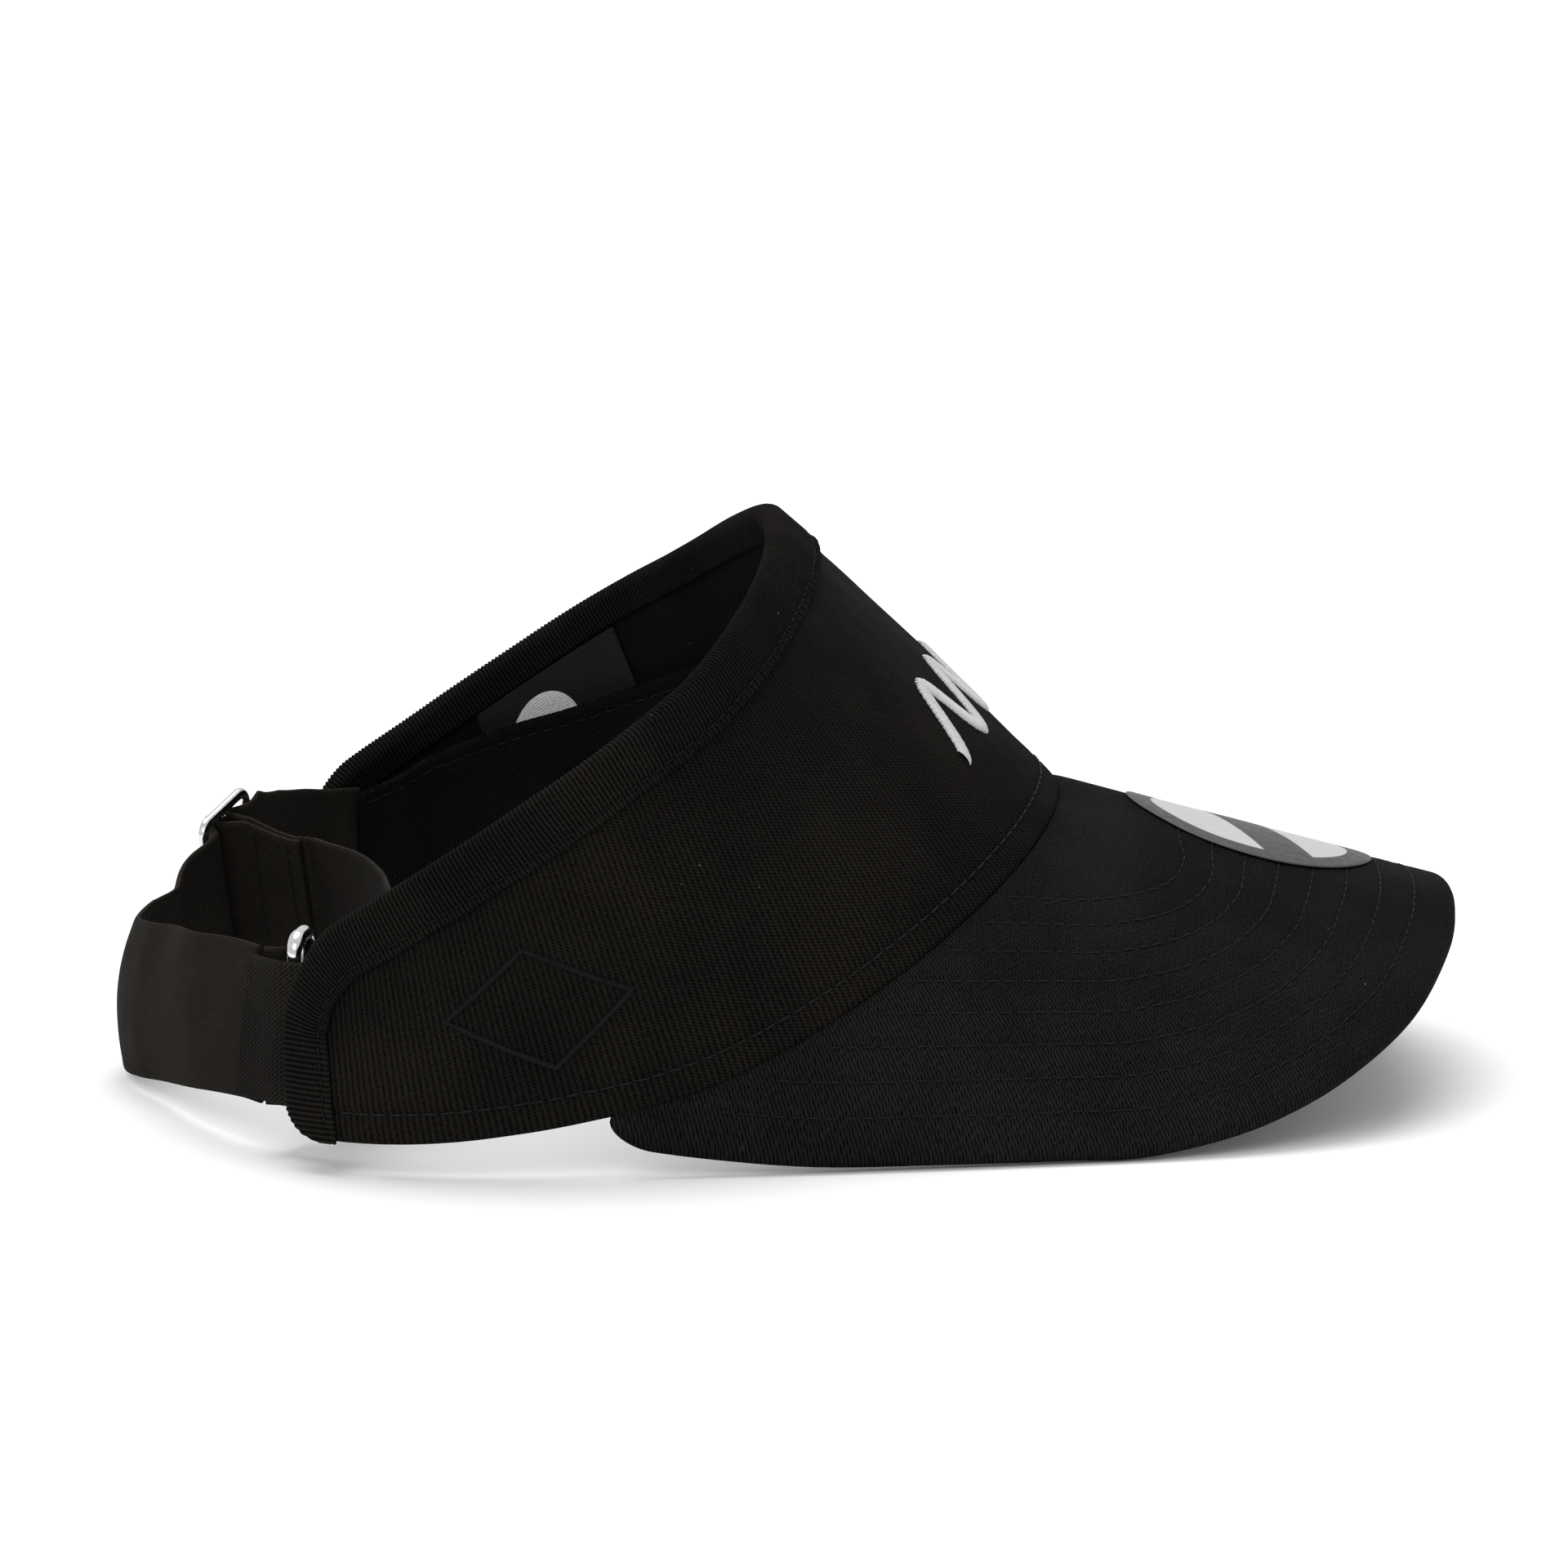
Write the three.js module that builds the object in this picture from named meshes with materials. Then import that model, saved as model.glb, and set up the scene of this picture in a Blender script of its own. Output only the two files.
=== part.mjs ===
// Adjustable sun visor: a curved stitched brim, a bound crown panel, a sweatband, and a rear strap
// that runs through a chrome slider and a chrome ring. Millimetres; X forward, Y to the wearer's
// left, Z up; the visor rests on the sides of its brim and on the back of its strap.
import * as THREE from "three";

// ---- driving dimensions -------------------------------------------------------------------------

// Seam between crown and brim: an oval in plan, with a longer front half.
const SEAM = { x: 60, front: 98.8, rear: 58, side: 86, power: 2.15, endX: 29.5 };
const HEM_Z = 4.4; // hem height at the rear ends of the crown
const HEM_RISE = 4.9; // how far the hem climbs from there to the corner of the brim
const HEM_X = 35;

// Upper edge of the crown.
const RIM = { x: 67, front: 44, rear: 66, side: 82, power: 2.35, endX: 29 };
const RIM_Z = 40.4; // height of the rim at RIM_X
const RIM_X = 39.3;
const RIM_SLOPE = 0.66;
const RIM_PEAK = 6.1; // extra height at the middle of the front
const RIM_PEAK_X = 92;
const RIM_PEAK_RUN = 19;
const CROWN_BULGE = 1.2;
const TOP_CORNER_R = 9;
const LOW_CORNER_R = 6;

// Brim: part of a cone bent about the X axis, sloping down to the front.
const BRIM = { crestX: 158.8, crestZ: 48.9, slope: -0.268, radius: 87.7, radiusX: 120, taper: -0.044 };
const BRIM_CORNER_X = 82;
const BRIM_OUTLINE = [
  [79, 86.1], [95, 85.1], [115, 83.4], [135, 80.9], [155, 78.0], [172, 75.0], [190, 69.0],
  [204, 60.5], [215.5, 48.0], [223, 30.0], [226, 12.0],
];
const BRIM_GAP = 0.45; // brim to crown, at the seam
const COVER_T = 0.9;
const BOARD_T = 1.7;

// Cloth layers of the crown, from the outside inwards.
const GAP = 0.3;
const PANEL_T = 1.0;
const BACKING_T = 0.8;
const BINDING_T = 0.8;
const BINDING_DEPTH = 8.2;
const BINDING_INSIDE = 4.4;
const LABEL_T = 0.4;
const SWEATBAND_T = 1.5;
const SWEATBAND_OFFSET = 3.7;
const SWEATBAND_END_H = 31.5;
const SWEATBAND_SIDE_H = 41.5;
const SWEATBAND_RAISE = 1.2;
const SWEATBAND_SHORT_RIGHT = 15; // how far it stops short of each rear end
const SWEATBAND_SHORT_LEFT = 8;
const SWEATBAND_STEP = [5.0, 3.0]; // how far it stands in over the strap's sewn end: bottom, top

// Thread and trim.
const THREAD = 0.4;
const ROWS = 8;
const ROW_FIRST = 7.8; // outermost brim row, in from the edge along the cloth
const ROW_PITCH = 6.0;
const ROW_SMOOTH = 0.08; // share of the outline over which its direction is averaged
const ROW_CLEAR = 1.6; // where the rows stop, outside the seam
const HEM_ROW = 5;
const STICKER = { x: 191.5, y: 4, r: 21, t: 0.4 };
const MOTIF = { width: 62, height: 13, stroke: 2.6, t: 0.6, low: 26, waves: 4 };
const DIAMOND = { along: 129, up: 20, halfW: 16, halfH: 10.5, stroke: 1.4, t: 0.5 };

// Strap and its hardware.
const STRAP_T = 1.0;
const STRAP_H = 26.4;
const STRAP_HALF = [[-1.2, 0], [1.2, 12], [5.2, 21], [14, 39.5], [20.5, 52.5]];
const STRAP_NEAR_END = [24, 58];
const STRAP_TO_SLIDER = [[5.6, 20], [1.2, 11.6]]; // from the slider back round, on the wearer's left
const STRAP_BACK_Z = 0.3; // its lower edge at the back, and how far it climbs to each side
const STRAP_RISE_RIGHT = 6.0;
const STRAP_RISE_LEFT = 10.2;
const STRAP_RISE_RUN = 50;
const SLIDER = { x: 17.4, y: 45.1, raise: 1.6, halfL: 9, halfH: 15.9, bar: 2, t: 1.6, corner: 2.6 };
const SLIDER_TILT = 16; // degrees the strap climbs towards the crown where it passes the slider
const STRAP_FAR_Z = 22.6; // middle of the strap where it is sewn in the left rear end
const SLIDER_TRAVEL_CLEAR = 3.3; // how far the strap rises over the slider's middle bar
const LOOP_R = 2.0;
const LOOP_DROP = 2.6; // how far the folded end falls between the slider and its sewn end
const RING = { r: 1.4, width: 8.4, turn: 78, halfH: 15, z: 19.5 }; // turn: degrees from the X axis
const TAB_H = 24;
const TAB_Z = 7.6;
const TAB_T = 1.2;
const TAB_SLANT = 0.14;
const TAB_FRONT = { x: 43, y: -74.8, dirX: -0.875, dirY: 0.484 }; // line of the tab inside the crown
const RING_ALONG = 17; // near bar of the ring, along that line and in from it
const RING_IN = 3.6;

// ---- materials ----------------------------------------------------------------------------------

const cloth = (colour, roughness = 0.95) =>
  new THREE.MeshStandardMaterial({ color: colour, roughness, metalness: 0 });
const TWILL = cloth(0x161412);
const LINING = cloth(0x131211);
const TAPE = cloth(0x181613);
const BOARD = cloth(0x2b2b2b, 0.6);
const TOWEL = cloth(0x0b0d12);
const SATIN = cloth(0x23201a, 0.7);
const LABEL = cloth(0x2c2f30, 0.6);
const FOIL = cloth(0xb9bbbd, 0.35);
const WHITE_THREAD = cloth(0xf2f2f0, 0.55);
const DARK_THREAD = cloth(0x2a2826, 0.6);
const CHROME = new THREE.MeshStandardMaterial({ color: 0xdedede, roughness: 0.12, metalness: 1 });

// ---- curves -------------------------------------------------------------------------------------

const V = (x, y, z = 0) => new THREE.Vector3(x, y, z);

// Half-width of an oval at a station x.
function ovalY(o, x) {
  const d = x > o.x ? (x - o.x) / o.front : (o.x - x) / o.rear;
  return o.side * (1 - Math.min(1, d) ** o.power) ** (1 / o.power);
}

// Half of an oval as [x, y] points, from its middle front back to endX.
function ovalHalf(o, endX, steps) {
  const points = [];
  for (let i = 0; i <= steps; i++) {
    const angle = (i / steps) * (Math.PI / 2);
    const c = Math.cos(angle) ** (2 / o.power);
    points.push([o.x + o.front * c, o.side * Math.sin(angle) ** (2 / o.power)]);
  }
  for (let i = 1; i <= steps; i++) {
    const x = o.x - (i / steps) * (o.x - endX);
    points.push([x, ovalY(o, x)]);
  }
  return points;
}

// A symmetrical curve from the wearer's right (-Y) round the front to the left, from its left half.
function mirrored(half, height) {
  const left = half.map(([x, y]) => V(x, y, height(x, y)));
  const right = half.slice(half[0][1] === 0 ? 1 : 0).map(([x, y]) => V(x, -y, height(x, y)));
  const curve = new THREE.CatmullRomCurve3([...right.reverse(), ...left]);
  curve.arcLengthDivisions = 600;
  return curve;
}

function brimZ(x, y) {
  const r = BRIM.radius + BRIM.taper * (x - BRIM.radiusX);
  return BRIM.crestZ + BRIM.slope * (x - BRIM.crestX) - (r - Math.sqrt(r * r - y * y));
}

function seamZ(x, y) {
  const hem = HEM_Z + HEM_RISE * ((x - HEM_X) / (BRIM_CORNER_X - HEM_X)) ** 2;
  return x > BRIM_CORNER_X ? brimZ(x, y) : hem;
}

function rimZ(x) {
  const peak = Math.max(0, (x - RIM_PEAK_X) / RIM_PEAK_RUN);
  return RIM_Z + RIM_SLOPE * (x - RIM_X) + RIM_PEAK * peak * peak;
}

const seam = mirrored(ovalHalf(SEAM, SEAM.endX, 18), seamZ);
const rim = mirrored(ovalHalf(RIM, RIM.endX, 18), rimZ);
const HALF_LENGTH = (seam.getLength() + rim.getLength()) / 4;

// ---- the crown surface --------------------------------------------------------------------------

// Point of the crown's outer face. t runs from -1 (right rear) to 1 (left rear); up is in mm above
// the seam, measured along the cloth.
function crownPoint(t, up) {
  const beyond = Math.abs(t) - 1;
  if (beyond > 0) {
    const edge = crownPoint(Math.sign(t), up);
    const step = 0.01;
    const back = crownPoint(Math.sign(t) * (1 - step), up);
    return edge.add(edge.clone().sub(back).multiplyScalar(beyond / step));
  }
  const u = (t + 1) / 2;
  const low = seam.getPointAt(u);
  const high = rim.getPointAt(u);
  const v = up / low.distanceTo(high);
  const point = low.lerp(high, v);
  const out = V(point.x - SEAM.x, point.y).normalize();
  return point.addScaledVector(out, CROWN_BULGE * 4 * v * (1 - v));
}

function crownHeight(t) {
  const u = THREE.MathUtils.clamp((t + 1) / 2, 0, 1);
  return seam.getPointAt(u).distanceTo(rim.getPointAt(u));
}

// Point at a depth out of (+) or into (-) the cloth.
function crownAt(t, up, depth) {
  const step = 0.004;
  const along = crownPoint(t + step, up).sub(crownPoint(t - step, up));
  const rise = crownPoint(t, up + 0.5).sub(crownPoint(t, up - 0.5));
  return crownPoint(t, up).addScaledVector(along.cross(rise).normalize(), depth);
}

// How much a rounded corner of radius r takes off the height at a station t.
function cornerDrop(t, r) {
  const e = Math.min(r, (1 - Math.abs(t)) * HALF_LENGTH);
  return r - Math.sqrt(r * r - (r - e) ** 2);
}

// Stations along the bound edge: up the right rear end, round the rim, down the left rear end.
// Each holds its place on the crown (t, up) and the inward direction in the cloth.
function edgeStations(perHalf = 22, perCorner = 4, perEnd = 3) {
  const half = [];
  const end = crownHeight(1);
  const straight = 1 - TOP_CORNER_R / HALF_LENGTH;
  for (let i = 0; i <= perHalf; i++) {
    const t = (straight * i) / perHalf;
    half.push([t, crownHeight(t)]);
  }
  for (let i = 1; i <= perCorner; i++) {
    const angle = (i / perCorner) * (Math.PI / 2);
    const t = straight + (TOP_CORNER_R / HALF_LENGTH) * Math.sin(angle);
    half.push([t, crownHeight(t) - TOP_CORNER_R * (1 - Math.cos(angle))]);
  }
  for (let i = 1; i <= perEnd; i++) {
    half.push([1, end - TOP_CORNER_R - ((end - TOP_CORNER_R - LOW_CORNER_R) * i) / perEnd]);
  }
  const all = [...half.slice(1).reverse().map(([t, up]) => [-t, up]), ...half];
  return all.map(([t, up], i) => {
    const a = all[Math.max(0, i - 1)];
    const b = all[Math.min(all.length - 1, i + 1)];
    const dir = new THREE.Vector2((b[0] - a[0]) * HALF_LENGTH, b[1] - a[1]).normalize();
    return { t, up, inT: dir.y / HALF_LENGTH, inUp: -dir.x };
  });
}

// ---- solid makers -------------------------------------------------------------------------------

const visor = new THREE.Group();

// Turns the faces outwards, if the warp has turned them inwards.
function faceOut(geometry) {
  const p = geometry.getAttribute("position");
  const index = geometry.index.array;
  const [a, b, c] = [V(0, 0), V(0, 0), V(0, 0)];
  let volume = 0;
  for (let i = 0; i < index.length; i += 3) {
    a.fromBufferAttribute(p, index[i]);
    b.fromBufferAttribute(p, index[i + 1]);
    c.fromBufferAttribute(p, index[i + 2]);
    volume += a.dot(b.cross(c));
  }
  if (volume < 0) {
    for (let i = 0; i < index.length; i += 3) {
      [index[i + 1], index[i + 2]] = [index[i + 2], index[i + 1]];
    }
  }
  geometry.computeVertexNormals();
  return geometry;
}

function add(name, geometry, material, parent = visor) {
  const mesh = new THREE.Mesh(geometry, material);
  mesh.name = name;
  parent.add(mesh);
  return mesh;
}

// A closed slab: place(u, v, w) sends the unit box, u along, v across and w through, into space.
function slab(name, material, along, across, place, parent = visor) {
  const geometry = new THREE.BoxGeometry(1, 1, 1, along, across, 1);
  const p = geometry.getAttribute("position");
  for (let i = 0; i < p.count; i++) {
    const at = place(p.getX(i) + 0.5, p.getY(i) + 0.5, p.getZ(i) + 0.5);
    p.setXYZ(i, at.x, at.y, at.z);
  }
  return add(name, faceOut(geometry), material, parent);
}

// A band of webbing on edge along a curve. Its cuts across lie along the direction that width gives,
// straight up unless told otherwise, and are long enough to keep the webbing's own width on a slope:
// a bend tighter than half the width is then mitred, where square cuts would cross each other.
function band(name, material, steps, middle, height, thick, parent = visor, width = () => V(0, 0, 1)) {
  return slab(name, material, steps, 1, (u, v, w) => {
    const at = middle.getPointAt(u);
    const dir = middle.getTangentAt(u);
    const wanted = width(at);
    const side = dir.clone().cross(wanted);
    const slant = side.length() / wanted.length();
    return at.addScaledVector(side.normalize(), (w - 0.5) * thick)
      .addScaledVector(wanted.normalize(), ((v - 0.5) * height) / slant);
  }, parent);
}

// A thread: a square rod lying along a line of points, with its underside clear of the cloth.
function thread(name, material, steps, place) {
  return slab(name, material, steps, 1, (u, v, w) => place(u, (v - 0.5) * THREAD, GAP + w * THREAD));
}

const spline = (points, tension = 0.5) => {
  const curve = new THREE.CatmullRomCurve3(points, false, "catmullrom", tension);
  curve.arcLengthDivisions = 400;
  return curve;
};

// ---- brim ---------------------------------------------------------------------------------------

const outline = mirrored([...BRIM_OUTLINE].reverse(), () => 0);
const seamFront = mirrored(ovalHalf(SEAM, SEAM.x, 24).filter(([x]) => x > BRIM_CORNER_X), () => 0);

function inset(curve, u, distance) {
  const at = curve.getPointAt(u);
  const dir = curve.getTangentAt(u);
  return V(at.x - dir.y * distance, at.y + dir.x * distance);
}

// Point at a depth above (+) or below (-) the brim's top face, at a place in plan.
function brimAt(plan, depth) {
  const d = 0.05;
  const dx = (brimZ(plan.x + d, plan.y) - brimZ(plan.x - d, plan.y)) / (2 * d);
  const dy = (brimZ(plan.x, plan.y + d) - brimZ(plan.x, plan.y - d)) / (2 * d);
  const normal = V(-dx, -dy, 1).normalize();
  return V(plan.x, plan.y, brimZ(plan.x, plan.y)).addScaledVector(normal, depth);
}

// One layer of the brim: its depth below the top face, how far it stops short of the outer edge, and
// how much of its length it gives up at each rear corner.
function brimLayer(name, material, along, across, top, thick, edge, corner) {
  slab(name, material, along, across, (u, v, w) => {
    const s = corner + (1 - 2 * corner) * u;
    const inner = inset(seamFront, s, -BRIM_GAP);
    const outer = inset(outline, s, edge);
    return brimAt(inner.lerp(outer, v), -top - (1 - w) * thick);
  });
}

brimLayer("brim_top_cover", TWILL, 44, 7, 0, COVER_T, 0, 0);
brimLayer("brim_board", BOARD, 36, 5, COVER_T + GAP, BOARD_T, 1.2, 0.02);
brimLayer("brim_under_cover", LINING, 36, 5, COVER_T + BOARD_T + 2 * GAP, COVER_T, 0.5, 0.01);

// Place in plan that lies a distance in from the outer edge, measured along the brim's top face.
function insetOverTop(s, distance) {
  const edge = inset(outline, s, 0);
  const [from, to] = [Math.max(0, s - ROW_SMOOTH), Math.min(1, s + ROW_SMOOTH)];
  const chord = outline.getPointAt(to).sub(outline.getPointAt(from)).normalize();
  const inward = V(-chord.y, chord.x);
  const stride = 0.25;
  let plan = edge;
  let here = brimAt(plan, 0);
  for (let gone = 0; gone < distance;) {
    const next = plan.clone().addScaledVector(inward, stride);
    const there = brimAt(next, 0);
    const length = here.distanceTo(there);
    if (gone + length > distance) return plan.addScaledVector(inward, (stride * (distance - gone)) / length);
    gone += length;
    [plan, here] = [next, there];
  }
  return plan;
}

// Where along the outline an inset row comes out from under the seam.
function rowStart(distance) {
  const covered = (s) => {
    const { x, y } = insetOverTop(s, distance);
    const [a, b] = [(x - SEAM.x) / (SEAM.front + ROW_CLEAR), Math.abs(y) / (SEAM.side + ROW_CLEAR)];
    return Math.max(0, a) ** SEAM.power + b ** SEAM.power < 1;
  };
  let s = 0;
  while (covered(s)) s += 0.001;
  return s;
}

for (let row = 0; row < ROWS; row++) {
  const distance = ROW_FIRST + row * ROW_PITCH;
  const from = rowStart(distance);
  thread("brim_stitch_row_" + (row + 1), DARK_THREAD, 30, (u, side, depth) => {
    const s = from + (1 - 2 * from) * u;
    return brimAt(insetOverTop(s, distance + side), depth);
  });
}

slab("brim_sticker", FOIL, 8, 8, (u, v, w) => {
  const [a, b] = [2 * u - 1, 2 * v - 1];
  const x = STICKER.x + STICKER.r * a * Math.sqrt(1 - (b * b) / 2);
  const y = STICKER.y + STICKER.r * b * Math.sqrt(1 - (a * a) / 2);
  return brimAt(V(x, y), THREAD + 2 * GAP + w * STICKER.t);
});

// ---- crown --------------------------------------------------------------------------------------

function crownLayer(name, material, across, depth, thick) {
  slab(name, material, 48, across, (u, v, w) => {
    const t = 2 * u - 1;
    const low = cornerDrop(t, LOW_CORNER_R);
    const high = crownHeight(t) - cornerDrop(t, TOP_CORNER_R);
    return crownAt(t, low + (high - low) * v, -depth - (1 - w) * thick);
  });
}

crownLayer("crown_panel", TWILL, 5, 0, PANEL_T);
crownLayer("crown_backing", LINING, 4, PANEL_T + GAP, BACKING_T);

// Binding tape folded over the edge: its section runs down the outside, over, and down the inside.
const stations = edgeStations();
const outLeg = GAP + BINDING_T / 2;
const inLeg = -(PANEL_T + BACKING_T + 2 * GAP + BINDING_T / 2);
const tapeSection = [
  [BINDING_DEPTH, outLeg], [BINDING_DEPTH / 2, outLeg], [0.2, outLeg], [-0.9, outLeg - 0.7],
  [-0.9, inLeg + 0.7], [0.2, inLeg], [BINDING_INSIDE / 2, inLeg], [BINDING_INSIDE, inLeg],
];
slab("top_binding", TAPE, stations.length - 1, tapeSection.length - 1, (u, v, w) => {
  const station = stations[Math.round(u * (stations.length - 1))];
  const i = Math.round(v * (tapeSection.length - 1));
  const here = tapeSection[i];
  const before = tapeSection[Math.max(0, i - 1)];
  const after = tapeSection[Math.min(tapeSection.length - 1, i + 1)];
  const dir = new THREE.Vector2(after[0] - before[0], after[1] - before[1]).normalize();
  const side = (w - 0.5) * BINDING_T;
  const inward = here[0] + dir.y * side;
  const depth = here[1] - dir.x * side;
  return crownAt(station.t + station.inT * inward, station.up + station.inUp * inward, depth);
});

thread("binding_stitching", DARK_THREAD, stations.length - 1, (u, side, depth) => {
  const station = stations[Math.round(u * (stations.length - 1))];
  const inward = BINDING_DEPTH - 1.4 + side;
  const out = GAP + BINDING_T + depth;
  return crownAt(station.t + station.inT * inward, station.up + station.inUp * inward, out);
});

thread("hem_stitching", DARK_THREAD, 44, (u, side, depth) => {
  const reach = 1 - (BINDING_DEPTH + 1) / HALF_LENGTH;
  return crownAt((2 * u - 1) * reach, HEM_ROW + side, depth);
});

// Sweatband: sewn in along the seam, standing free of the panel above.
const bandRight = -1 + SWEATBAND_SHORT_RIGHT / HALF_LENGTH;
const bandLeft = 1 - SWEATBAND_SHORT_LEFT / HALF_LENGTH;
function sweatbandAt(t, v, depth) {
  const side = Math.sin(Math.min(1, (1 - Math.abs(t)) / 0.4) * (Math.PI / 2));
  const top = SWEATBAND_END_H + (SWEATBAND_SIDE_H - SWEATBAND_END_H) * side;
  const up = SWEATBAND_RAISE + (top - SWEATBAND_RAISE) * v;
  const overStrap = THREE.MathUtils.smoothstep(t, 1 - 30 / HALF_LENGTH, 1 - 17 / HALF_LENGTH);
  const step = overStrap * THREE.MathUtils.lerp(...SWEATBAND_STEP, v);
  return crownAt(t, up, -SWEATBAND_OFFSET - 0.8 * v - step - depth);
}
slab("sweatband", TOWEL, 44, 3, (u, v, w) =>
  sweatbandAt(bandRight + (bandLeft - bandRight) * u, v, (1 - w) * SWEATBAND_T));
slab("sweatband_stitching", DARK_THREAD, 40, 1, (u, v, w) =>
  sweatbandAt(bandRight + 0.01 + (bandLeft - bandRight - 0.02) * u, 0.94 + 0.012 * v,
    SWEATBAND_T + 2 * GAP + w * THREAD));

// Woven label: hangs from the binding on the wearer's left, inside.
slab("woven_label", LABEL, 5, 4, (u, v, w) => {
  const t = 0.578 + 0.19 * u;
  const high = crownHeight(t) - BINDING_INSIDE - 2 * GAP;
  const low = high - 24;
  return crownAt(t, low + (high - low) * v, -(PANEL_T + BACKING_T + 2 * GAP) - (1 - w) * LABEL_T);
});

// Front embroidery: one satin-stitched wave.
slab("front_embroidery", WHITE_THREAD, 48, 1, (u, v, w) => {
  const across = (u - 0.5) * MOTIF.width;
  const phase = u * MOTIF.waves * 2 * Math.PI;
  const slope = (MOTIF.height * MOTIF.waves * Math.PI * Math.sin(phase)) / MOTIF.width;
  const lean = Math.hypot(1, slope);
  const side = (v - 0.5) * MOTIF.stroke;
  const up = MOTIF.low - 0.5 * MOTIF.height * Math.cos(phase) + side / lean;
  const a = across - (side * slope) / lean;
  return crownAt(a / HALF_LENGTH, up, GAP + w * MOTIF.t);
});

// Side embroidery on the wearer's right: a tonal diamond outline.
const diamondCorners = [[-1, 0], [0, 1], [1, 0], [0, -1]];
function diamondRing(scale, depth) {
  return diamondCorners.flatMap(([a, b], i) => {
    const [c, d] = diamondCorners[(i + 1) % 4];
    return [0, 1 / 3, 2 / 3].map((k) => {
      const along = -DIAMOND.along + (a + (c - a) * k) * DIAMOND.halfW * scale;
      const up = DIAMOND.up + (b + (d - b) * k) * DIAMOND.halfH * scale;
      return crownAt(along / HALF_LENGTH, up, depth);
    });
  });
}
function diamond() {
  const inner = 1 - DIAMOND.stroke / DIAMOND.halfH;
  const rings = [
    diamondRing(1, GAP), diamondRing(1, GAP + DIAMOND.t),
    diamondRing(inner, GAP + DIAMOND.t), diamondRing(inner, GAP),
  ];
  const count = rings[0].length;
  const positions = rings.flat().flatMap((p) => [p.x, p.y, p.z]);
  const index = [];
  for (let r = 0; r < rings.length; r++) {
    for (let i = 0; i < count; i++) {
      const a = r * count + i;
      const b = r * count + ((i + 1) % count);
      const c = ((r + 1) % rings.length) * count + i;
      const d = ((r + 1) % rings.length) * count + ((i + 1) % count);
      index.push(a, b, c, b, d, c);
    }
  }
  const geometry = new THREE.BufferGeometry();
  geometry.setAttribute("position", new THREE.Float32BufferAttribute(positions, 3));
  geometry.setIndex(index);
  return faceOut(geometry);
}
add("side_embroidery", diamond(), DARK_THREAD);

// ---- strap --------------------------------------------------------------------------------------

function strapZ(y) {
  const k = Math.min(1, Math.abs(y) / STRAP_RISE_RUN);
  const rise = y < 0 ? STRAP_RISE_RIGHT * k ** 1.2 : STRAP_RISE_LEFT * k ** 2;
  return STRAP_BACK_Z + rise + STRAP_H / 2;
}
const strapPoint = ([x, y]) => V(x, y, strapZ(y));
// The slider lies square on a strap that climbs towards the crown: slideDir runs along the strap,
// barDir along the slider's bars, and slideOut out of the visor.
const slideFlat = V(STRAP_HALF[4][0] - STRAP_HALF[3][0], STRAP_HALF[4][1] - STRAP_HALF[3][1]).normalize();
const tilt = THREE.MathUtils.degToRad(SLIDER_TILT);
const slideDir = slideFlat.clone().multiplyScalar(Math.cos(tilt)).setZ(Math.sin(tilt));
const barDir = slideFlat.clone().multiplyScalar(-Math.sin(tilt)).setZ(Math.cos(tilt));
const slideOut = V(-slideFlat.y, slideFlat.x);
const sliderZ = strapZ(SLIDER.y) + SLIDER.raise;
// A place beside the slider: along the strap towards the crown, and out of the visor.
const bySlider = (along, out) =>
  V(SLIDER.x, SLIDER.y, sliderZ).addScaledVector(slideDir, along).addScaledVector(slideOut, out);
// The strap's width follows the slider's bars beside it, and stands upright again by a distance away.
const barWidth = (near, far) => (at) => {
  const away = at.distanceTo(bySlider(0, 0));
  return barDir.clone().lerp(V(0, 0, 1), THREE.MathUtils.smoothstep(away, near, far));
};
const UNDER_BAR = -(SLIDER.t / 2 + GAP + STRAP_T / 2);
const OVER_REACH = SLIDER.halfL - SLIDER.bar;

// Back stretch: from behind the slider round the back of the head to the ring.
const backStart = bySlider(-SLIDER.halfL - 9, 0);
band("strap_back", SATIN, 34, spline([
  backStart, bySlider(-SLIDER.halfL - 11.5, 0), ...STRAP_TO_SLIDER.map(strapPoint), strapPoint(STRAP_HALF[0]),
  ...[...STRAP_HALF.slice(1), STRAP_NEAR_END].map(([x, y]) => strapPoint([x, -y])),
]), STRAP_H, STRAP_T, visor, barWidth(20, 34));

// Far stretch: through the slider, over its middle bar, to the left rear end of the crown.
const farStretch = [];
for (const along of [-17.6, -14, -11]) {
  farStretch.push(bySlider(along, (UNDER_BAR * (17.6 + along)) / 6.6));
}
for (let i = 0; i <= 12; i++) {
  const along = -9 + 1.5 * i;
  const lift = Math.abs(along) < OVER_REACH ? 0.5 + 0.5 * Math.cos((Math.PI * along) / OVER_REACH) : 0;
  farStretch.push(bySlider(along, UNDER_BAR + (SLIDER_TRAVEL_CLEAR - UNDER_BAR) * lift));
}
farStretch.push(bySlider(10.5, UNDER_BAR), V(25.2, 58, STRAP_FAR_Z + 2.2));
farStretch.push(V(28.9, 64.3, STRAP_FAR_Z + 1.2), V(33, 69, STRAP_FAR_Z + 0.3), V(39, 72.5, STRAP_FAR_Z));
band("strap_far", SATIN, 52, spline(farStretch), STRAP_H, STRAP_T, visor, barWidth(18, 28));

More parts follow.
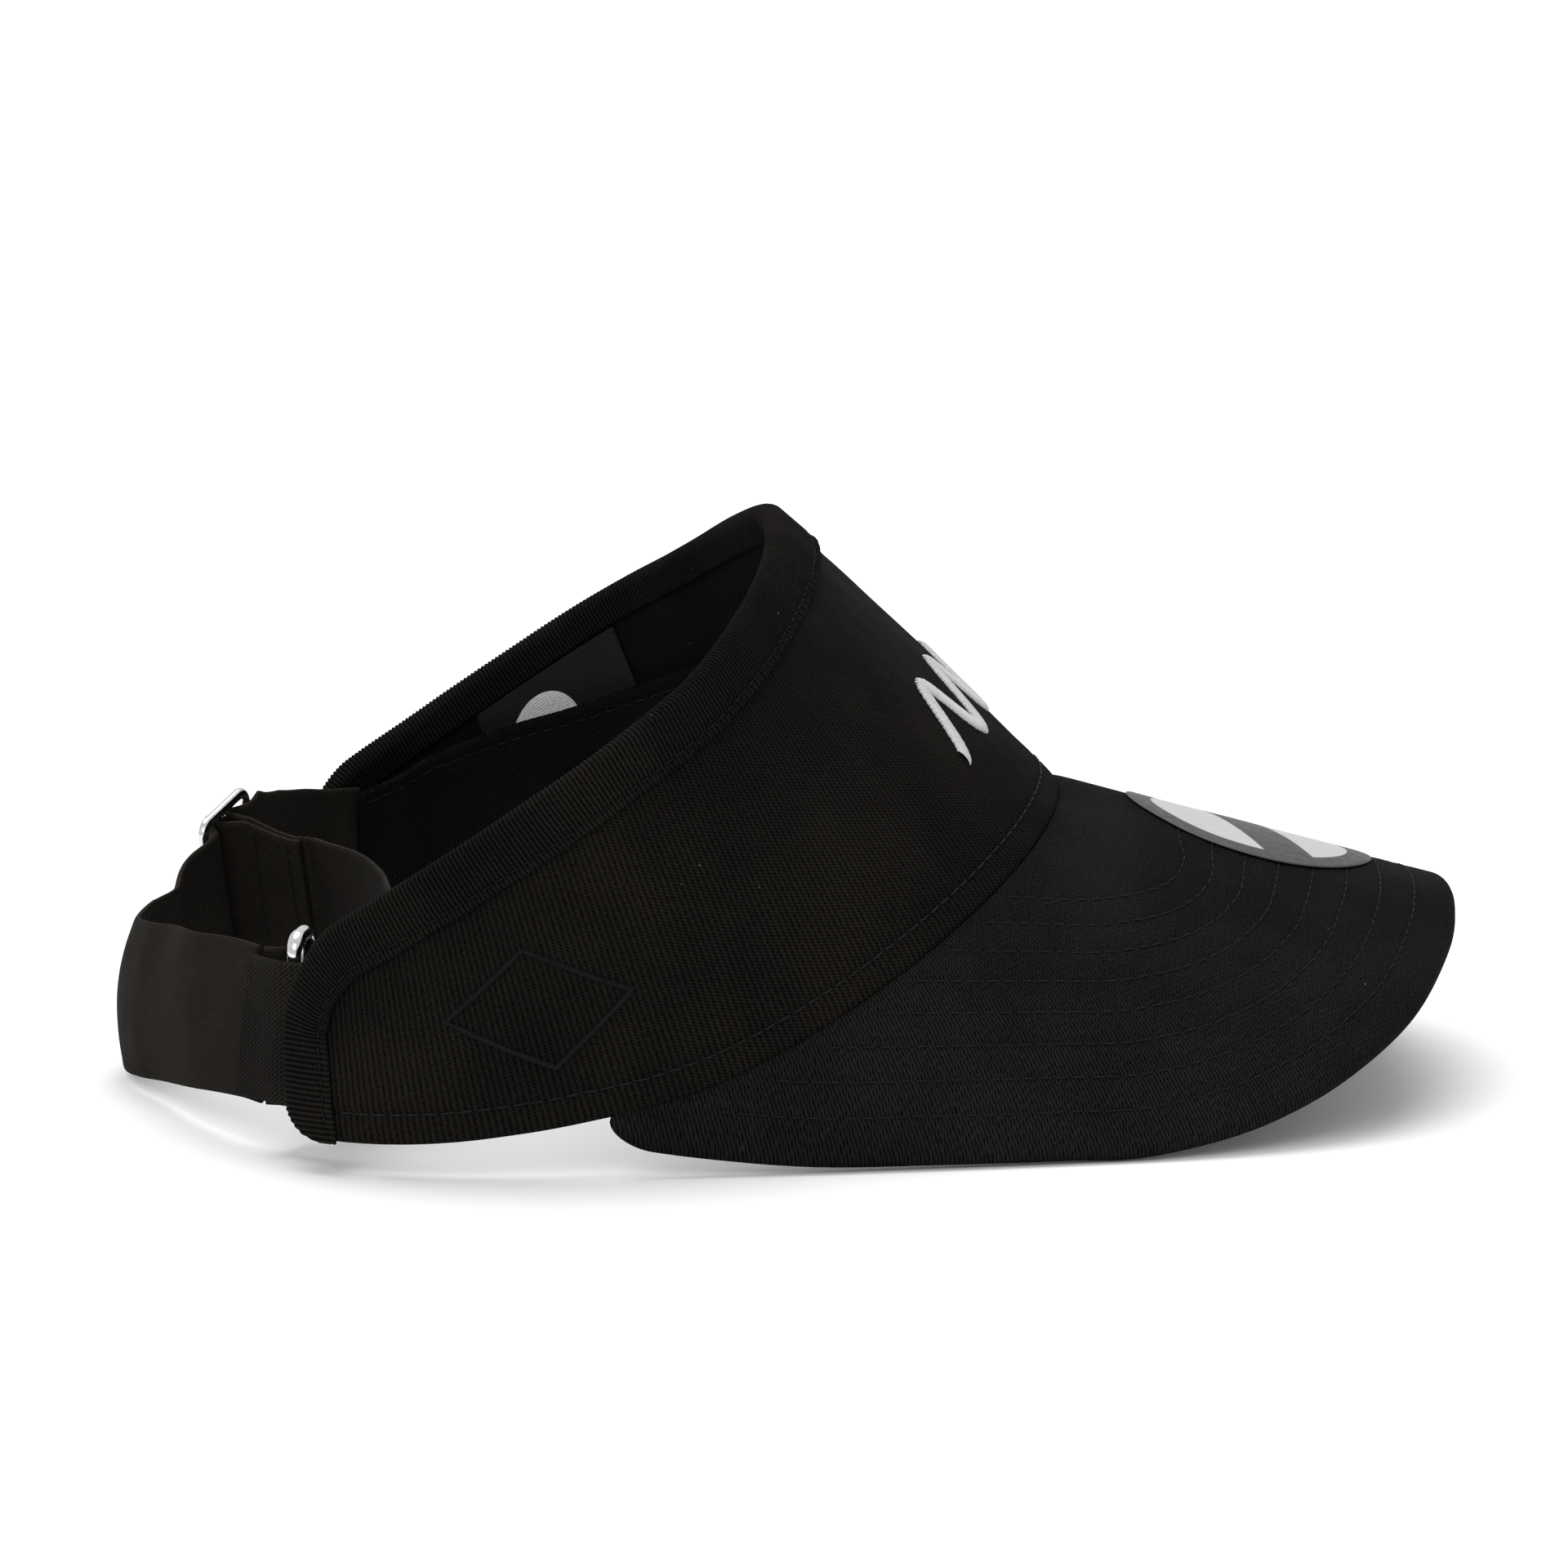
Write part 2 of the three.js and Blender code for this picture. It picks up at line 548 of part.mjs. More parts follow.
// End loop: the strap's end folded round the slider's middle bar and sewn to itself.
const beside = (along, side) =>
  bySlider(side, -along).add(V(0, 0, -LOOP_DROP * THREE.MathUtils.smoothstep(along, 2, 13)));
const loopPath = [beside(15, 0.65), beside(13, 0.65), beside(9, 0.65), beside(4.2, 0.9)];
for (let i = 0; i <= 8; i++) {
  const angle = THREE.MathUtils.degToRad(60 + 30 * i);
  loopPath.push(beside(LOOP_R * Math.cos(angle), LOOP_R * Math.sin(angle)));
}
loopPath.push(beside(4.2, -0.9), beside(9, -0.65), beside(13, -0.65), beside(15, -0.65));
const slider = new THREE.Group();
visor.add(slider);
band("strap_end_loop", SATIN, 40, spline(loopPath), STRAP_H, STRAP_T, slider, () => barDir.clone());

// Return stretch: from the near ring, slack across the inside, to the sewn end loop.
const returnEnd = beside(15.5, 0);
const ringStrapZ = strapZ(-60);
// A place beside the tab's line: rearwards along it, and in towards the middle of the visor.
const byTab = (along, inward, z) => V(
  TAB_FRONT.x + TAB_FRONT.dirX * along + TAB_FRONT.dirY * inward,
  TAB_FRONT.y + TAB_FRONT.dirY * along - TAB_FRONT.dirX * inward, z);
const ringTurn = THREE.MathUtils.degToRad(RING.turn);
const ringDir = V(Math.cos(ringTurn), Math.sin(ringTurn));
const ringFront = V(ringDir.y, -ringDir.x); // forward of the ring
const nearBar = byTab(RING_ALONG, RING_IN, RING.z);
const farBar = nearBar.clone().addScaledVector(ringDir, RING.width);
const roundBar = (angleDeg) => {
  const angle = THREE.MathUtils.degToRad(angleDeg);
  const reach = RING.r + GAP + STRAP_T / 2 + 0.1;
  return V(farBar.x, farBar.y, ringStrapZ)
    .addScaledVector(ringDir, reach * Math.cos(angle)).addScaledVector(ringFront, reach * Math.sin(angle));
};
band("strap_return", SATIN, 60, spline([
  V(24.8, -59.2, ringStrapZ), V(27.6, -59.6, ringStrapZ), roundBar(180), roundBar(135), roundBar(90),
  roundBar(45), V(37.6, -47, ringStrapZ), V(42.6, -33, returnEnd.z), V(45, -17, returnEnd.z),
  V(42.6, 6, returnEnd.z), V(38, 23, returnEnd.z), beside(18, 0), returnEnd,
]), STRAP_H, STRAP_T, visor, barWidth(17, 34));

// ---- slider and ring ----------------------------------------------------------------------------

function roundedRect(shape, halfW, halfH, r) {
  shape.moveTo(-halfW + r, -halfH);
  shape.lineTo(halfW - r, -halfH).absarc(halfW - r, -halfH + r, r, -Math.PI / 2, 0);
  shape.lineTo(halfW, halfH - r).absarc(halfW - r, halfH - r, r, 0, Math.PI / 2);
  shape.lineTo(-halfW + r, halfH).absarc(-halfW + r, halfH - r, r, Math.PI / 2, Math.PI);
  shape.lineTo(-halfW, -halfH + r).absarc(-halfW + r, -halfH + r, r, Math.PI, 1.5 * Math.PI);
  return shape;
}

function sliderGeometry() {
  const bevel = 0.4;
  const shape = roundedRect(new THREE.Shape(), SLIDER.halfL - bevel, SLIDER.halfH - bevel, SLIDER.corner);
  const slotHalfL = (SLIDER.halfL - 1.5 * SLIDER.bar) / 2;
  for (const side of [-1, 1]) {
    const slot = roundedRect(new THREE.Path(), slotHalfL + bevel, SLIDER.halfH - SLIDER.bar + bevel, 0.8);
    const centre = side * (SLIDER.bar / 2 + slotHalfL);
    shape.holes.push(new THREE.Path(slot.getPoints(3).map((p) => new THREE.Vector2(p.x + centre, p.y))));
  }
  const geometry = new THREE.ExtrudeGeometry(shape, {
    depth: SLIDER.t - 2 * bevel, bevelThickness: bevel, bevelSize: bevel, bevelSegments: 1, curveSegments: 4,
  });
  return geometry.translate(0, 0, bevel - SLIDER.t / 2);
}
const buckle = add("slider", sliderGeometry(), CHROME, slider);
// The buckle's plate stands on edge: its length along the strap, its bars square to it.
buckle.quaternion.setFromRotationMatrix(
  new THREE.Matrix4().makeBasis(slideDir, barDir, slideDir.clone().cross(barDir)));
buckle.position.set(SLIDER.x, SLIDER.y, sliderZ);

// Ring: round wire bent to a rounded rectangle.
function ringGeometry() {
  const halfW = RING.width / 2;
  const corner = 2.4;
  const path = [];
  for (const [sx, sy, start] of [[1, 1, 0], [-1, 1, 90], [-1, -1, 180], [1, -1, 270]]) {
    for (let i = 0; i <= 3; i++) {
      const angle = THREE.MathUtils.degToRad(start + 30 * i);
      path.push(V(sx * (halfW - corner) + corner * Math.cos(angle), 0,
        sy * (RING.halfH - corner) + corner * Math.sin(angle)));
    }
  }
  const sides = 10;
  const positions = [];
  const index = [];
  path.forEach((p, i) => {
    const before = path[(i + path.length - 1) % path.length];
    const after = path[(i + 1) % path.length];
    const dir = after.clone().sub(before).normalize();
    const out = V(dir.z, 0, -dir.x);
    for (let j = 0; j < sides; j++) {
      const angle = (j / sides) * 2 * Math.PI;
      const at = p.clone().addScaledVector(out, RING.r * Math.cos(angle)).add(V(0, RING.r * Math.sin(angle), 0));
      positions.push(at.x, at.y, at.z);
      const [a, b] = [i * sides + j, i * sides + ((j + 1) % sides)];
      const shift = ((i + 1) % path.length) * sides;
      const [c, d] = [shift + j, shift + ((j + 1) % sides)];
      index.push(a, b, c, b, d, c);
    }
  });
  const geometry = new THREE.BufferGeometry();
  geometry.setAttribute("position", new THREE.Float32BufferAttribute(positions, 3));
  geometry.setIndex(index);
  return faceOut(geometry);
}
const ring = add("ring", ringGeometry(), CHROME);
ring.position.copy(nearBar).add(farBar).multiplyScalar(0.5);
ring.rotation.z = ringTurn;

// Ring loop: a short strip folded round the ring's near bar, its ends sewn inside the crown's end.
const STRIP_T = 0.9;
const strip = RING.r + GAP + STRIP_T / 2 + 0.05;
const stripPath = [byTab(3.5, 1.4, RING.z), byTab(9, 1.4, RING.z), byTab(14, 1.4, RING.z)];
for (let i = 0; i <= 6; i++) {
  const angle = THREE.MathUtils.degToRad(-90 + 30 * i);
  stripPath.push(byTab(RING_ALONG + strip * Math.cos(angle), RING_IN + strip * Math.sin(angle), RING.z));
}
stripPath.push(byTab(13.5, 5, RING.z), byTab(9, 3.2, RING.z), byTab(3.5, 2.7, RING.z));
band("ring_loop", TWILL, 34, spline(stripPath), TAB_H - 2, STRIP_T);

// Cover tab: twill, sewn inside the crown's right end, lying over the ring and the strap. Its free
// end is cut on a slant.
const tabLine = spline([
  byTab(2.5, 0, 0), byTab(9, 0, 0), byTab(16.5, 0, 0), V(26.2, -64.6), V(23, -60), V(19.8, -55.6),
]);
slab("strap_cover_tab", TWILL, 16, 2, (u, v, w) => {
  const at = tabLine.getPointAt(u * (1 - TAB_SLANT * v));
  const dir = tabLine.getTangentAt(u * (1 - TAB_SLANT * v));
  return at.addScaledVector(V(dir.y, -dir.x).normalize(), (w - 0.5) * TAB_T)
    .add(V(0, 0, TAB_Z + v * TAB_H));
});

// ---- the whole visor: its origin is under the middle of its box -----------------------------------

const whole = new THREE.Group();
whole.add(visor);
const extent = new THREE.Box3().setFromObject(visor, true);
visor.position.set(-(extent.min.x + extent.max.x) / 2, -(extent.min.y + extent.max.y) / 2, -extent.min.z);

export default whole;
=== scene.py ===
"""An adjustable sun visor: quilted brim, bound crown panel, sweatband, and a strap with a chrome slider and ring.

Lengths are in millimetres in the pattern's own place (x forward from the strap's back, y to the wearer's left,
z up from the table) and are turned into metres in the frame's place when a piece is made."""
import math

import bpy
import numpy as np
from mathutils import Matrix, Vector, kdtree


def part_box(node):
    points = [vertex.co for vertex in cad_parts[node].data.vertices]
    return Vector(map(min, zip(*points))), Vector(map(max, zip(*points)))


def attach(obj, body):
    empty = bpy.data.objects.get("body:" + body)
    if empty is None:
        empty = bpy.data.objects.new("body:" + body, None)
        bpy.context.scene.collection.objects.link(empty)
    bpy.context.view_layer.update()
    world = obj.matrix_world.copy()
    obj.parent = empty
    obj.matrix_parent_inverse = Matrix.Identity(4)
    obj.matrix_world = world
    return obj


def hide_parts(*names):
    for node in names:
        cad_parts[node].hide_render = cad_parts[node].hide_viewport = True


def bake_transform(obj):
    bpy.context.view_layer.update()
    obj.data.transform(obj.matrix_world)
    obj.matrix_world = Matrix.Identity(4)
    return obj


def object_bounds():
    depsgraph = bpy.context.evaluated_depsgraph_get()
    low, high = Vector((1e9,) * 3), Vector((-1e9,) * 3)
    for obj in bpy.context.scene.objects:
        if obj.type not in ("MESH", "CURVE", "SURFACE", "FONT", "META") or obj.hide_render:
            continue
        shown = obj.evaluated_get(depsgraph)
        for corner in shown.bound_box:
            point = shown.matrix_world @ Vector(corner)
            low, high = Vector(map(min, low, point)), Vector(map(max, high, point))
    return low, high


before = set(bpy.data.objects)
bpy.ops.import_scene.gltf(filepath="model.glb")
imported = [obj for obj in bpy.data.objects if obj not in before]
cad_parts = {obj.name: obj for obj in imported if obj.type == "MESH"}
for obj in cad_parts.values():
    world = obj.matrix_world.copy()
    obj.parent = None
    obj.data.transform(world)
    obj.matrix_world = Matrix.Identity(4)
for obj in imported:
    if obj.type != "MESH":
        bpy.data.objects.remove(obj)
cad_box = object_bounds()

# ---- driving dimensions ----------------------------------------------------------------------------

MM = 0.001

SEAM = {"x": 60, "front": 98.8, "rear": 58, "side": 86, "power": 2.15, "end_x": 29.5}
HEM_Z, HEM_RISE, HEM_X = 4.4, 4.9, 35
RIM = {"x": 67, "front": 44, "rear": 66, "side": 82, "power": 2.35, "end_x": 29}
RIM_Z, RIM_X, RIM_SLOPE = 40.4, 39.3, 0.66
RIM_PEAK, RIM_PEAK_X, RIM_PEAK_RUN = 6.1, 92, 19
CROWN_BULGE = 1.2
TOP_CORNER_R, LOW_CORNER_R = 12.5, 6

BRIM_CREST_X, BRIM_CREST_Z, BRIM_SLOPE = 158.8, 48.9, -0.268
BRIM_RADIUS, BRIM_RADIUS_X, BRIM_TAPER = 87.7, 120, -0.044
BRIM_CORNER_X = 82
BRIM_END_X, BRIM_END_R = 78.5, 9.0  # where the brim comes out from under the hem, and its rounded corner
BRIM_OUTLINE = [
    (79, 86.1), (95, 85.1), (115, 83.4), (135, 80.9), (155, 78.0), (172, 75.0), (190, 69.0),
    (204, 60.5), (215.5, 48.0), (223, 30.0), (226, 12.0),
]
BRIM_TUCK = 0.3  # how far the brim's cloth goes in under the crown at the seam
BRIM_DEPTH = 4.1  # top face to under face
COVER_T = 0.9

GAP = 0.3
PANEL_T, LINING_T = 1.0, 0.8
TAPE_T, TAPE_OUTSIDE, TAPE_INSIDE = 0.8, 8.2, 4.6
TAPE_ROW = 1.5  # the tape's stitching, in from its outer edge
RIB = 0.88  # one crosswise rib of the tape
SWEATBAND_T, SWEATBAND_OFFSET = 1.5, 3.7
SWEATBAND_END_H, SWEATBAND_SIDE_H, SWEATBAND_RAISE = 31.5, 41.5, 1.2
SWEATBAND_SHORT_RIGHT, SWEATBAND_SHORT_LEFT = 15, 8

ROWS, ROW_FIRST, ROW_PITCH = 8, 7.8, 6.0
ROW_SMOOTH, ROW_CLEAR = 0.08, 1.6
STITCH = 2.9  # one stitch and the gap after it
HEM_ROW = 5
STICKER = {"x": 191.5, "y": 4, "r": 21}
WAVE = {"width": 62, "height": 13, "stroke": 3.1, "low": 26, "waves": 4}
DIAMOND = {"along": 129, "up": 20, "half_w": 16, "half_h": 10.5, "stroke": 1.05}
SATIN_PITCH = 0.32

STRAP_T, STRAP_H = 1.0, 26.4
STRAP_HALF = [(-1.2, 0), (1.2, 12), (5.2, 21), (14, 39.5), (20.5, 52.5)]
STRAP_NEAR_END = (24, -58)
STRAP_TO_SLIDER = [(5.6, 20), (1.2, 11.6)]
STRAP_BACK_Z, STRAP_RISE_RIGHT, STRAP_RISE_LEFT, STRAP_RISE_RUN = 0.3, 6.0, 10.2, 50
SLIDER = {"x": 17.4, "y": 45.1, "raise": 1.6, "tilt": 16, "half_l": 9, "half_h": 15.9, "bar": 2, "t": 1.6,
          "corner": 2.6}
STRAP_OVER_BAR = 3.3
STRAP_FAR_Z = 22.6
LOOP_R, LOOP_DROP = 2.0, 2.6
RING = {"r": 1.4, "width": 8.4, "turn": 78, "half_h": 15, "z": 19.5, "corner": 2.4}
TAB_H, TAB_Z, TAB_T, TAB_SLANT = 24, 7.6, 1.2, 0.14
TAB_FRONT = (43, -74.8)
TAB_DIR = (-0.875, 0.484)
RING_ALONG, RING_IN = 17, 3.6

# ---- lines -----------------------------------------------------------------------------------------


def point(x, y, z=0.0):
    return np.array([x, y, z], float)


def unit(v):
    return v / np.maximum(np.linalg.norm(v, axis=-1, keepdims=True), 1e-12)


def smooth_step(x, low, high):
    k = np.clip((np.asarray(x, float) - low) / (high - low), 0, 1)
    return k * k * (3 - 2 * k)


class Line:
    """A smooth line through a few points, walked by its length. A limp line takes its knots' spacing into account."""

    def __init__(self, knots, limp=False, steps=40):
        k = np.array([[*p, 0.0][:3] for p in knots], float)
        k = np.vstack([2 * k[0] - k[1], k, 2 * k[-1] - k[-2]])
        pieces = []
        s = np.linspace(0, 1, steps, endpoint=False)[:, None]
        for a, b, c, d in zip(k[:-3], k[1:-2], k[2:-1], k[3:]):
            if limp:
                out, into = 0.5 * (c - a), 0.5 * (d - b)
            else:
                r, t, e = (max(1e-4, float(np.linalg.norm(q - p)) ** 0.5) for p, q in ((a, b), (b, c), (c, d)))
                out = ((b - a) / r - (c - a) / (r + t) + (c - b) / t) * t
                into = ((c - b) / t - (d - b) / (t + e) + (d - c) / e) * t
            pieces.append(b + out * s + (3 * (c - b) - 2 * out - into) * s**2 + (2 * (b - c) + out + into) * s**3)
        self.points = np.vstack([*pieces, k[-2:-1]])
        self.walked = np.concatenate([[0], np.cumsum(np.linalg.norm(np.diff(self.points, axis=0), axis=1))])
        self.length = float(self.walked[-1])

    def at(self, u):
        u = np.asarray(u, float)
        return np.stack([np.interp(u * self.length, self.walked, self.points[:, i]) for i in range(3)], -1)

    def heading(self, u):
        u = np.asarray(u, float)
        step = 0.3 / self.length
        return unit(self.at(np.minimum(u + step, 1)) - self.at(np.maximum(u - step, 0)))


def oval_half(o, end_x, steps):
    """Half an oval, from its middle front back to end_x."""
    turn = np.linspace(0, math.pi / 2, steps + 1)
    c, s = np.abs(np.cos(turn)) ** (2 / o["power"]), np.sin(turn) ** (2 / o["power"])
    front = [(o["x"] + o["front"] * a, o["side"] * b) for a, b in zip(c, s)]
    rear = []
    for x in np.linspace(o["x"], end_x, steps + 1)[1:]:
        d = (o["x"] - x) / o["rear"]
        rear.append((x, o["side"] * (1 - d ** o["power"]) ** (1 / o["power"])))
    return front + rear


def mirrored(half, height):
    """A line from the wearer's right round the front to the left, from its left half."""
    left = [(x, y, height(x, y)) for x, y in half]
    right = [(x, -y, height(x, y)) for x, y in half[1 if abs(half[0][1]) < 1e-9 else 0:]]
    return Line(right[::-1] + left)


def brim_z(x, y):
    r = BRIM_RADIUS + BRIM_TAPER * (x - BRIM_RADIUS_X)
    return BRIM_CREST_Z + BRIM_SLOPE * (x - BRIM_CREST_X) - (r - np.sqrt(np.maximum(r * r - y * y, 1)))


def seam_z(x, y):
    hem = HEM_Z + HEM_RISE * ((x - HEM_X) / (BRIM_CORNER_X - HEM_X)) ** 2
    return float(brim_z(x, y)) if x > BRIM_CORNER_X else hem


def rim_z(x, y):
    peak = max(0, (x - RIM_PEAK_X) / RIM_PEAK_RUN)
    return RIM_Z + RIM_SLOPE * (x - RIM_X) + RIM_PEAK * peak * peak


seam = mirrored(oval_half(SEAM, SEAM["end_x"], 18), seam_z)
rim = mirrored(oval_half(RIM, RIM["end_x"], 18), rim_z)
outline = mirrored(BRIM_OUTLINE[::-1], lambda x, y: 0)
seam_front = mirrored([p for p in oval_half(SEAM, SEAM["x"] - 0.01, 24)[:25] if p[0] > BRIM_END_X], lambda x, y: 0)
CROWN_HALF = (seam.length + rim.length) / 4

# ---- surfaces --------------------------------------------------------------------------------------


def drift(a, b, seed, scale):
    """Slow, even unevenness of worn cloth, from -1 to 1, over two lengths."""
    rng = np.random.default_rng(seed)
    total = 0
    for _ in range(5):
        across, along, start = rng.uniform(0.6, 1.7), rng.uniform(-1, 1), rng.uniform(0, 2 * math.pi)
        total = total + np.sin((a * across + b * along) * 2 * math.pi / scale + start)
    return total / 5


def crown_height(t):
    u = np.clip((np.asarray(t, float) + 1) / 2, 0, 1)
    return np.linalg.norm(seam.at(u) - rim.at(u), axis=-1)


def crown_point(t, up):
    """A point of the crown's outer face: t from -1, the right rear end, to 1, and up from the seam along the cloth."""
    t, up = np.broadcast_arrays(np.asarray(t, float), np.asarray(up, float))

    def ruled(s):
        u = (s + 1) / 2
        low, high = seam.at(u), rim.at(u)
        v = (up / np.linalg.norm(low - high, axis=-1))[..., None]
        spot = low + (high - low) * v
        out = unit((spot - point(SEAM["x"], 0)) * point(1, 1))
        return spot + out * CROWN_BULGE * 4 * v * (1 - v)

    spot, step = ruled(np.clip(t, -1, 1)), 0.01
    beyond = np.maximum(np.abs(t) - 1, 0)
    if not beyond.any():
        return spot
    return spot + (beyond / step)[..., None] * (spot - ruled(np.sign(t) * (1 - step)))


def crown_at(t, up, depth):
    """A point at a depth out of the crown's cloth, with the soft unevenness that all its layers share."""
    t, up = np.broadcast_arrays(np.asarray(t, float), np.asarray(up, float))
    along = crown_point(t + 0.004, up) - crown_point(t - 0.004, up)
    rise = crown_point(t, up + 0.5) - crown_point(t, up - 0.5)
    free = smooth_step(up, 0, 14)
    soft = free * (0.35 * drift(t * CROWN_HALF, up, 3, 62) + 0.12 * drift(t * CROWN_HALF, up, 4, 21))
    return crown_point(t, up) + unit(np.cross(along, rise)) * (np.asarray(depth, float) + soft)[..., None]


def corner_drop(t, r):
    e = np.minimum(r, (1 - np.abs(t)) * CROWN_HALF)
    return r - np.sqrt(np.maximum(r * r - (r - e) ** 2, 0))


def brim_at(plan, depth):
    """A point at a depth above the brim's top face, over a place in plan."""
    x, y, d = plan[..., 0], plan[..., 1], 0.05
    dx = (brim_z(x + d, y) - brim_z(x - d, y)) / (2 * d)
    dy = (brim_z(x, y + d) - brim_z(x, y - d)) / (2 * d)
    normal = unit(np.stack([-dx, -dy, np.ones_like(dx)], -1))
    return np.stack([x, y, brim_z(x, y)], -1) + normal * np.asarray(depth, float)[..., None]


def inset(line, u, distance):
    at, way = line.at(u), line.heading(u)
    side = np.stack([-way[..., 1], way[..., 0], np.zeros_like(way[..., 0])], -1)
    return at + side * np.asarray(distance, float)[..., None]


def inset_over_top(s, distance):
    """Places in plan that lie a distance in from the brim's edge, measured along its top face."""
    s = np.asarray(s, float)
    plan = outline.at(s)
    chord = unit(outline.at(np.minimum(s + ROW_SMOOTH, 1)) - outline.at(np.maximum(s - ROW_SMOOTH, 0)))
    inward = np.stack([-chord[..., 1], chord[..., 0], np.zeros_like(s)], -1)
    stride, gone = 0.25, np.zeros_like(s)
    here = brim_at(plan, np.zeros_like(s))
    while (gone < distance - 1e-6).any():
        ahead = brim_at(plan + inward * stride, np.zeros_like(s))
        long = np.linalg.norm(ahead - here, axis=-1)
        share = np.clip((distance - gone) / long, 0, 1)
        plan = plan + inward * (stride * share)[..., None]
        gone, here = gone + long * share, brim_at(plan, np.zeros_like(s))
    return plan


def row_line(row):
    """One stitched row of the brim, from seam to seam, as plan points."""
    s = np.linspace(0, 1, 700)
    plan = inset_over_top(s, ROW_FIRST + row * ROW_PITCH)
    a = np.maximum(0, (plan[:, 0] - SEAM["x"]) / (SEAM["front"] + ROW_CLEAR))
    b = np.abs(plan[:, 1]) / (SEAM["side"] + ROW_CLEAR)
    return plan[a ** SEAM["power"] + b ** SEAM["power"] > 1]


row_lines = [row_line(row) for row in range(ROWS)]

# ---- making pieces ---------------------------------------------------------------------------------


def strap_z(y):
    k = np.minimum(1, np.abs(y) / STRAP_RISE_RUN)
    return STRAP_BACK_Z + np.where(np.asarray(y) < 0, STRAP_RISE_RIGHT * k**1.2, STRAP_RISE_LEFT * k**2) + STRAP_H / 2


low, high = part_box("slider")
slider_middle = point(SLIDER["x"], SLIDER["y"], float(strap_z(SLIDER["y"])) + SLIDER["raise"])
pattern_shift = np.array((low + high) / 2) / MM - slider_middle


def in_frame(p):
    """Metres in the frame's place, from millimetres in the pattern's."""
    return (np.asarray(p, float) + pattern_shift) * MM


def make_piece(name, points, faces, material, body, patterns=None, smooth=True):
    """A mesh piece that rides on a body. patterns are the cloth's own flat coordinates in millimetres."""
    mesh = bpy.data.meshes.new(name)
    points = in_frame(np.asarray(points).reshape(-1, 3))
    faces = [np.asarray(f) for f in faces]
    starts = np.concatenate([[0], np.cumsum([f.size for f in faces])])
    sizes = np.concatenate([np.full(len(f), f.shape[1]) for f in faces])
    corners = np.concatenate([f.ravel() for f in faces]).astype(np.int32)
    mesh.vertices.add(len(points))
    mesh.vertices.foreach_set("co", points.astype(np.float32).ravel())
    mesh.loops.add(int(starts[-1]))
    mesh.loops.foreach_set("vertex_index", corners)
    mesh.polygons.add(len(sizes))
    mesh.polygons.foreach_set("loop_start", np.concatenate([[0], np.cumsum(sizes)[:-1]]).astype(np.int32))
    mesh.polygons.foreach_set("loop_total", sizes.astype(np.int32))
    mesh.polygons.foreach_set("use_smooth", np.full(len(sizes), smooth))
    if patterns is not None:
        flat = mesh.uv_layers.new(name="Pattern")
        flat.data.foreach_set("uv", np.asarray(patterns, np.float32).reshape(-1, 2)[corners].ravel())
    mesh.update(calc_edges=True)
    mesh.validate()
    mesh.materials.append(material)
    piece = bpy.data.objects.new(name, mesh)
    bpy.context.scene.collection.objects.link(piece)
    if body:
        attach(piece, body)
    return piece


def turned_out(points, faces):
    """The faces, turned to face outwards."""
    volume = 0
    for f in faces:
        p = points[f]
        for i in range(1, f.shape[1] - 1):
            volume += (p[:, 0] * np.cross(p[:, i], p[:, i + 1])).sum()
    return faces if volume > 0 else [f[:, ::-1] for f in faces]


def strip_faces(a, b):
    """Quads between two runs of vertex numbers."""
    return np.stack([a[:-1], a[1:], b[1:], b[:-1]], -1)


def slab(name, top, under, material, body="visor", patterns=None):
    """A closed piece of cloth between two grids of points of the same size."""
    n, m = top.shape[:2]
    number = np.arange(n * m).reshape(n, m)
    below = number + n * m
    grid = np.stack([number[:-1, :-1], number[1:, :-1], number[1:, 1:], number[:-1, 1:]], -1).reshape(-1, 4)
    faces = [
        grid, grid[:, ::-1] + n * m,
        strip_faces(number[:, 0], below[:, 0])[:, ::-1], strip_faces(number[:, -1], below[:, -1]),
        strip_faces(number[0], below[0]), strip_faces(number[-1], below[-1])[:, ::-1],
    ]
    points = np.concatenate([top.reshape(-1, 3), under.reshape(-1, 3)])
    flat = None
    if patterns is not None:
        flat = np.concatenate([patterns.reshape(-1, 2)] * 2)
    return make_piece(name, points, turned_out(points, faces), material, body, flat)


def cloth_grid(n, m):
    """Two arrays from 0 to 1 over an n by m grid."""
    return np.meshgrid(np.linspace(0, 1, n), np.linspace(0, 1, m), indexing="ij")


def thread_bits(name, starts, ends, normals, material, body="visor", radius=0.2, rise=0.3, sink=0.1, sides=6,
                taper=0.55):
    """Many short threads, each an arch from one point to another, standing up along its normal."""
    share = np.array([0, 0.12, 0.35, 0.65, 0.88, 1])
    thick = radius * np.array([taper, 0.9, 1, 1, 0.9, taper])
    lift = rise * np.sin(math.pi * share) ** 0.7 - sink
    way = unit(ends - starts)
    out = unit(normals - way * (normals * way).sum(-1, keepdims=True))
    side = np.cross(way, out)
    middle = starts[:, None] + (ends - starts)[:, None] * share[:, None] + out[:, None] * lift[:, None]
    turn = np.arange(sides) * 2 * math.pi / sides
    ring = out[:, None, None] * np.cos(turn)[:, None] + side[:, None, None] * np.sin(turn)[:, None]
    points = middle[:, :, None] + ring * thick[:, None, None]
    count, rings = len(starts), len(share)
    number = np.arange(count * rings * sides).reshape(count, rings, sides)
    around = np.roll(number, -1, axis=2)
    walls = np.stack([number[:, :-1], around[:, :-1], around[:, 1:], number[:, 1:]], -1).reshape(-1, 4)
    caps = [number[:, 0, ::-1].reshape(count, sides), number[:, -1].reshape(count, sides)]
    flat = np.zeros((count, rings, sides, 2))
    flat[..., 0] = (share * np.linalg.norm(ends - starts, axis=-1)[:, None])[..., None]
    flat[..., 1] = turn * radius
    faces = turned_out(points.reshape(-1, 3), [walls, *caps])
    return make_piece(name, points, faces, material, body, flat)


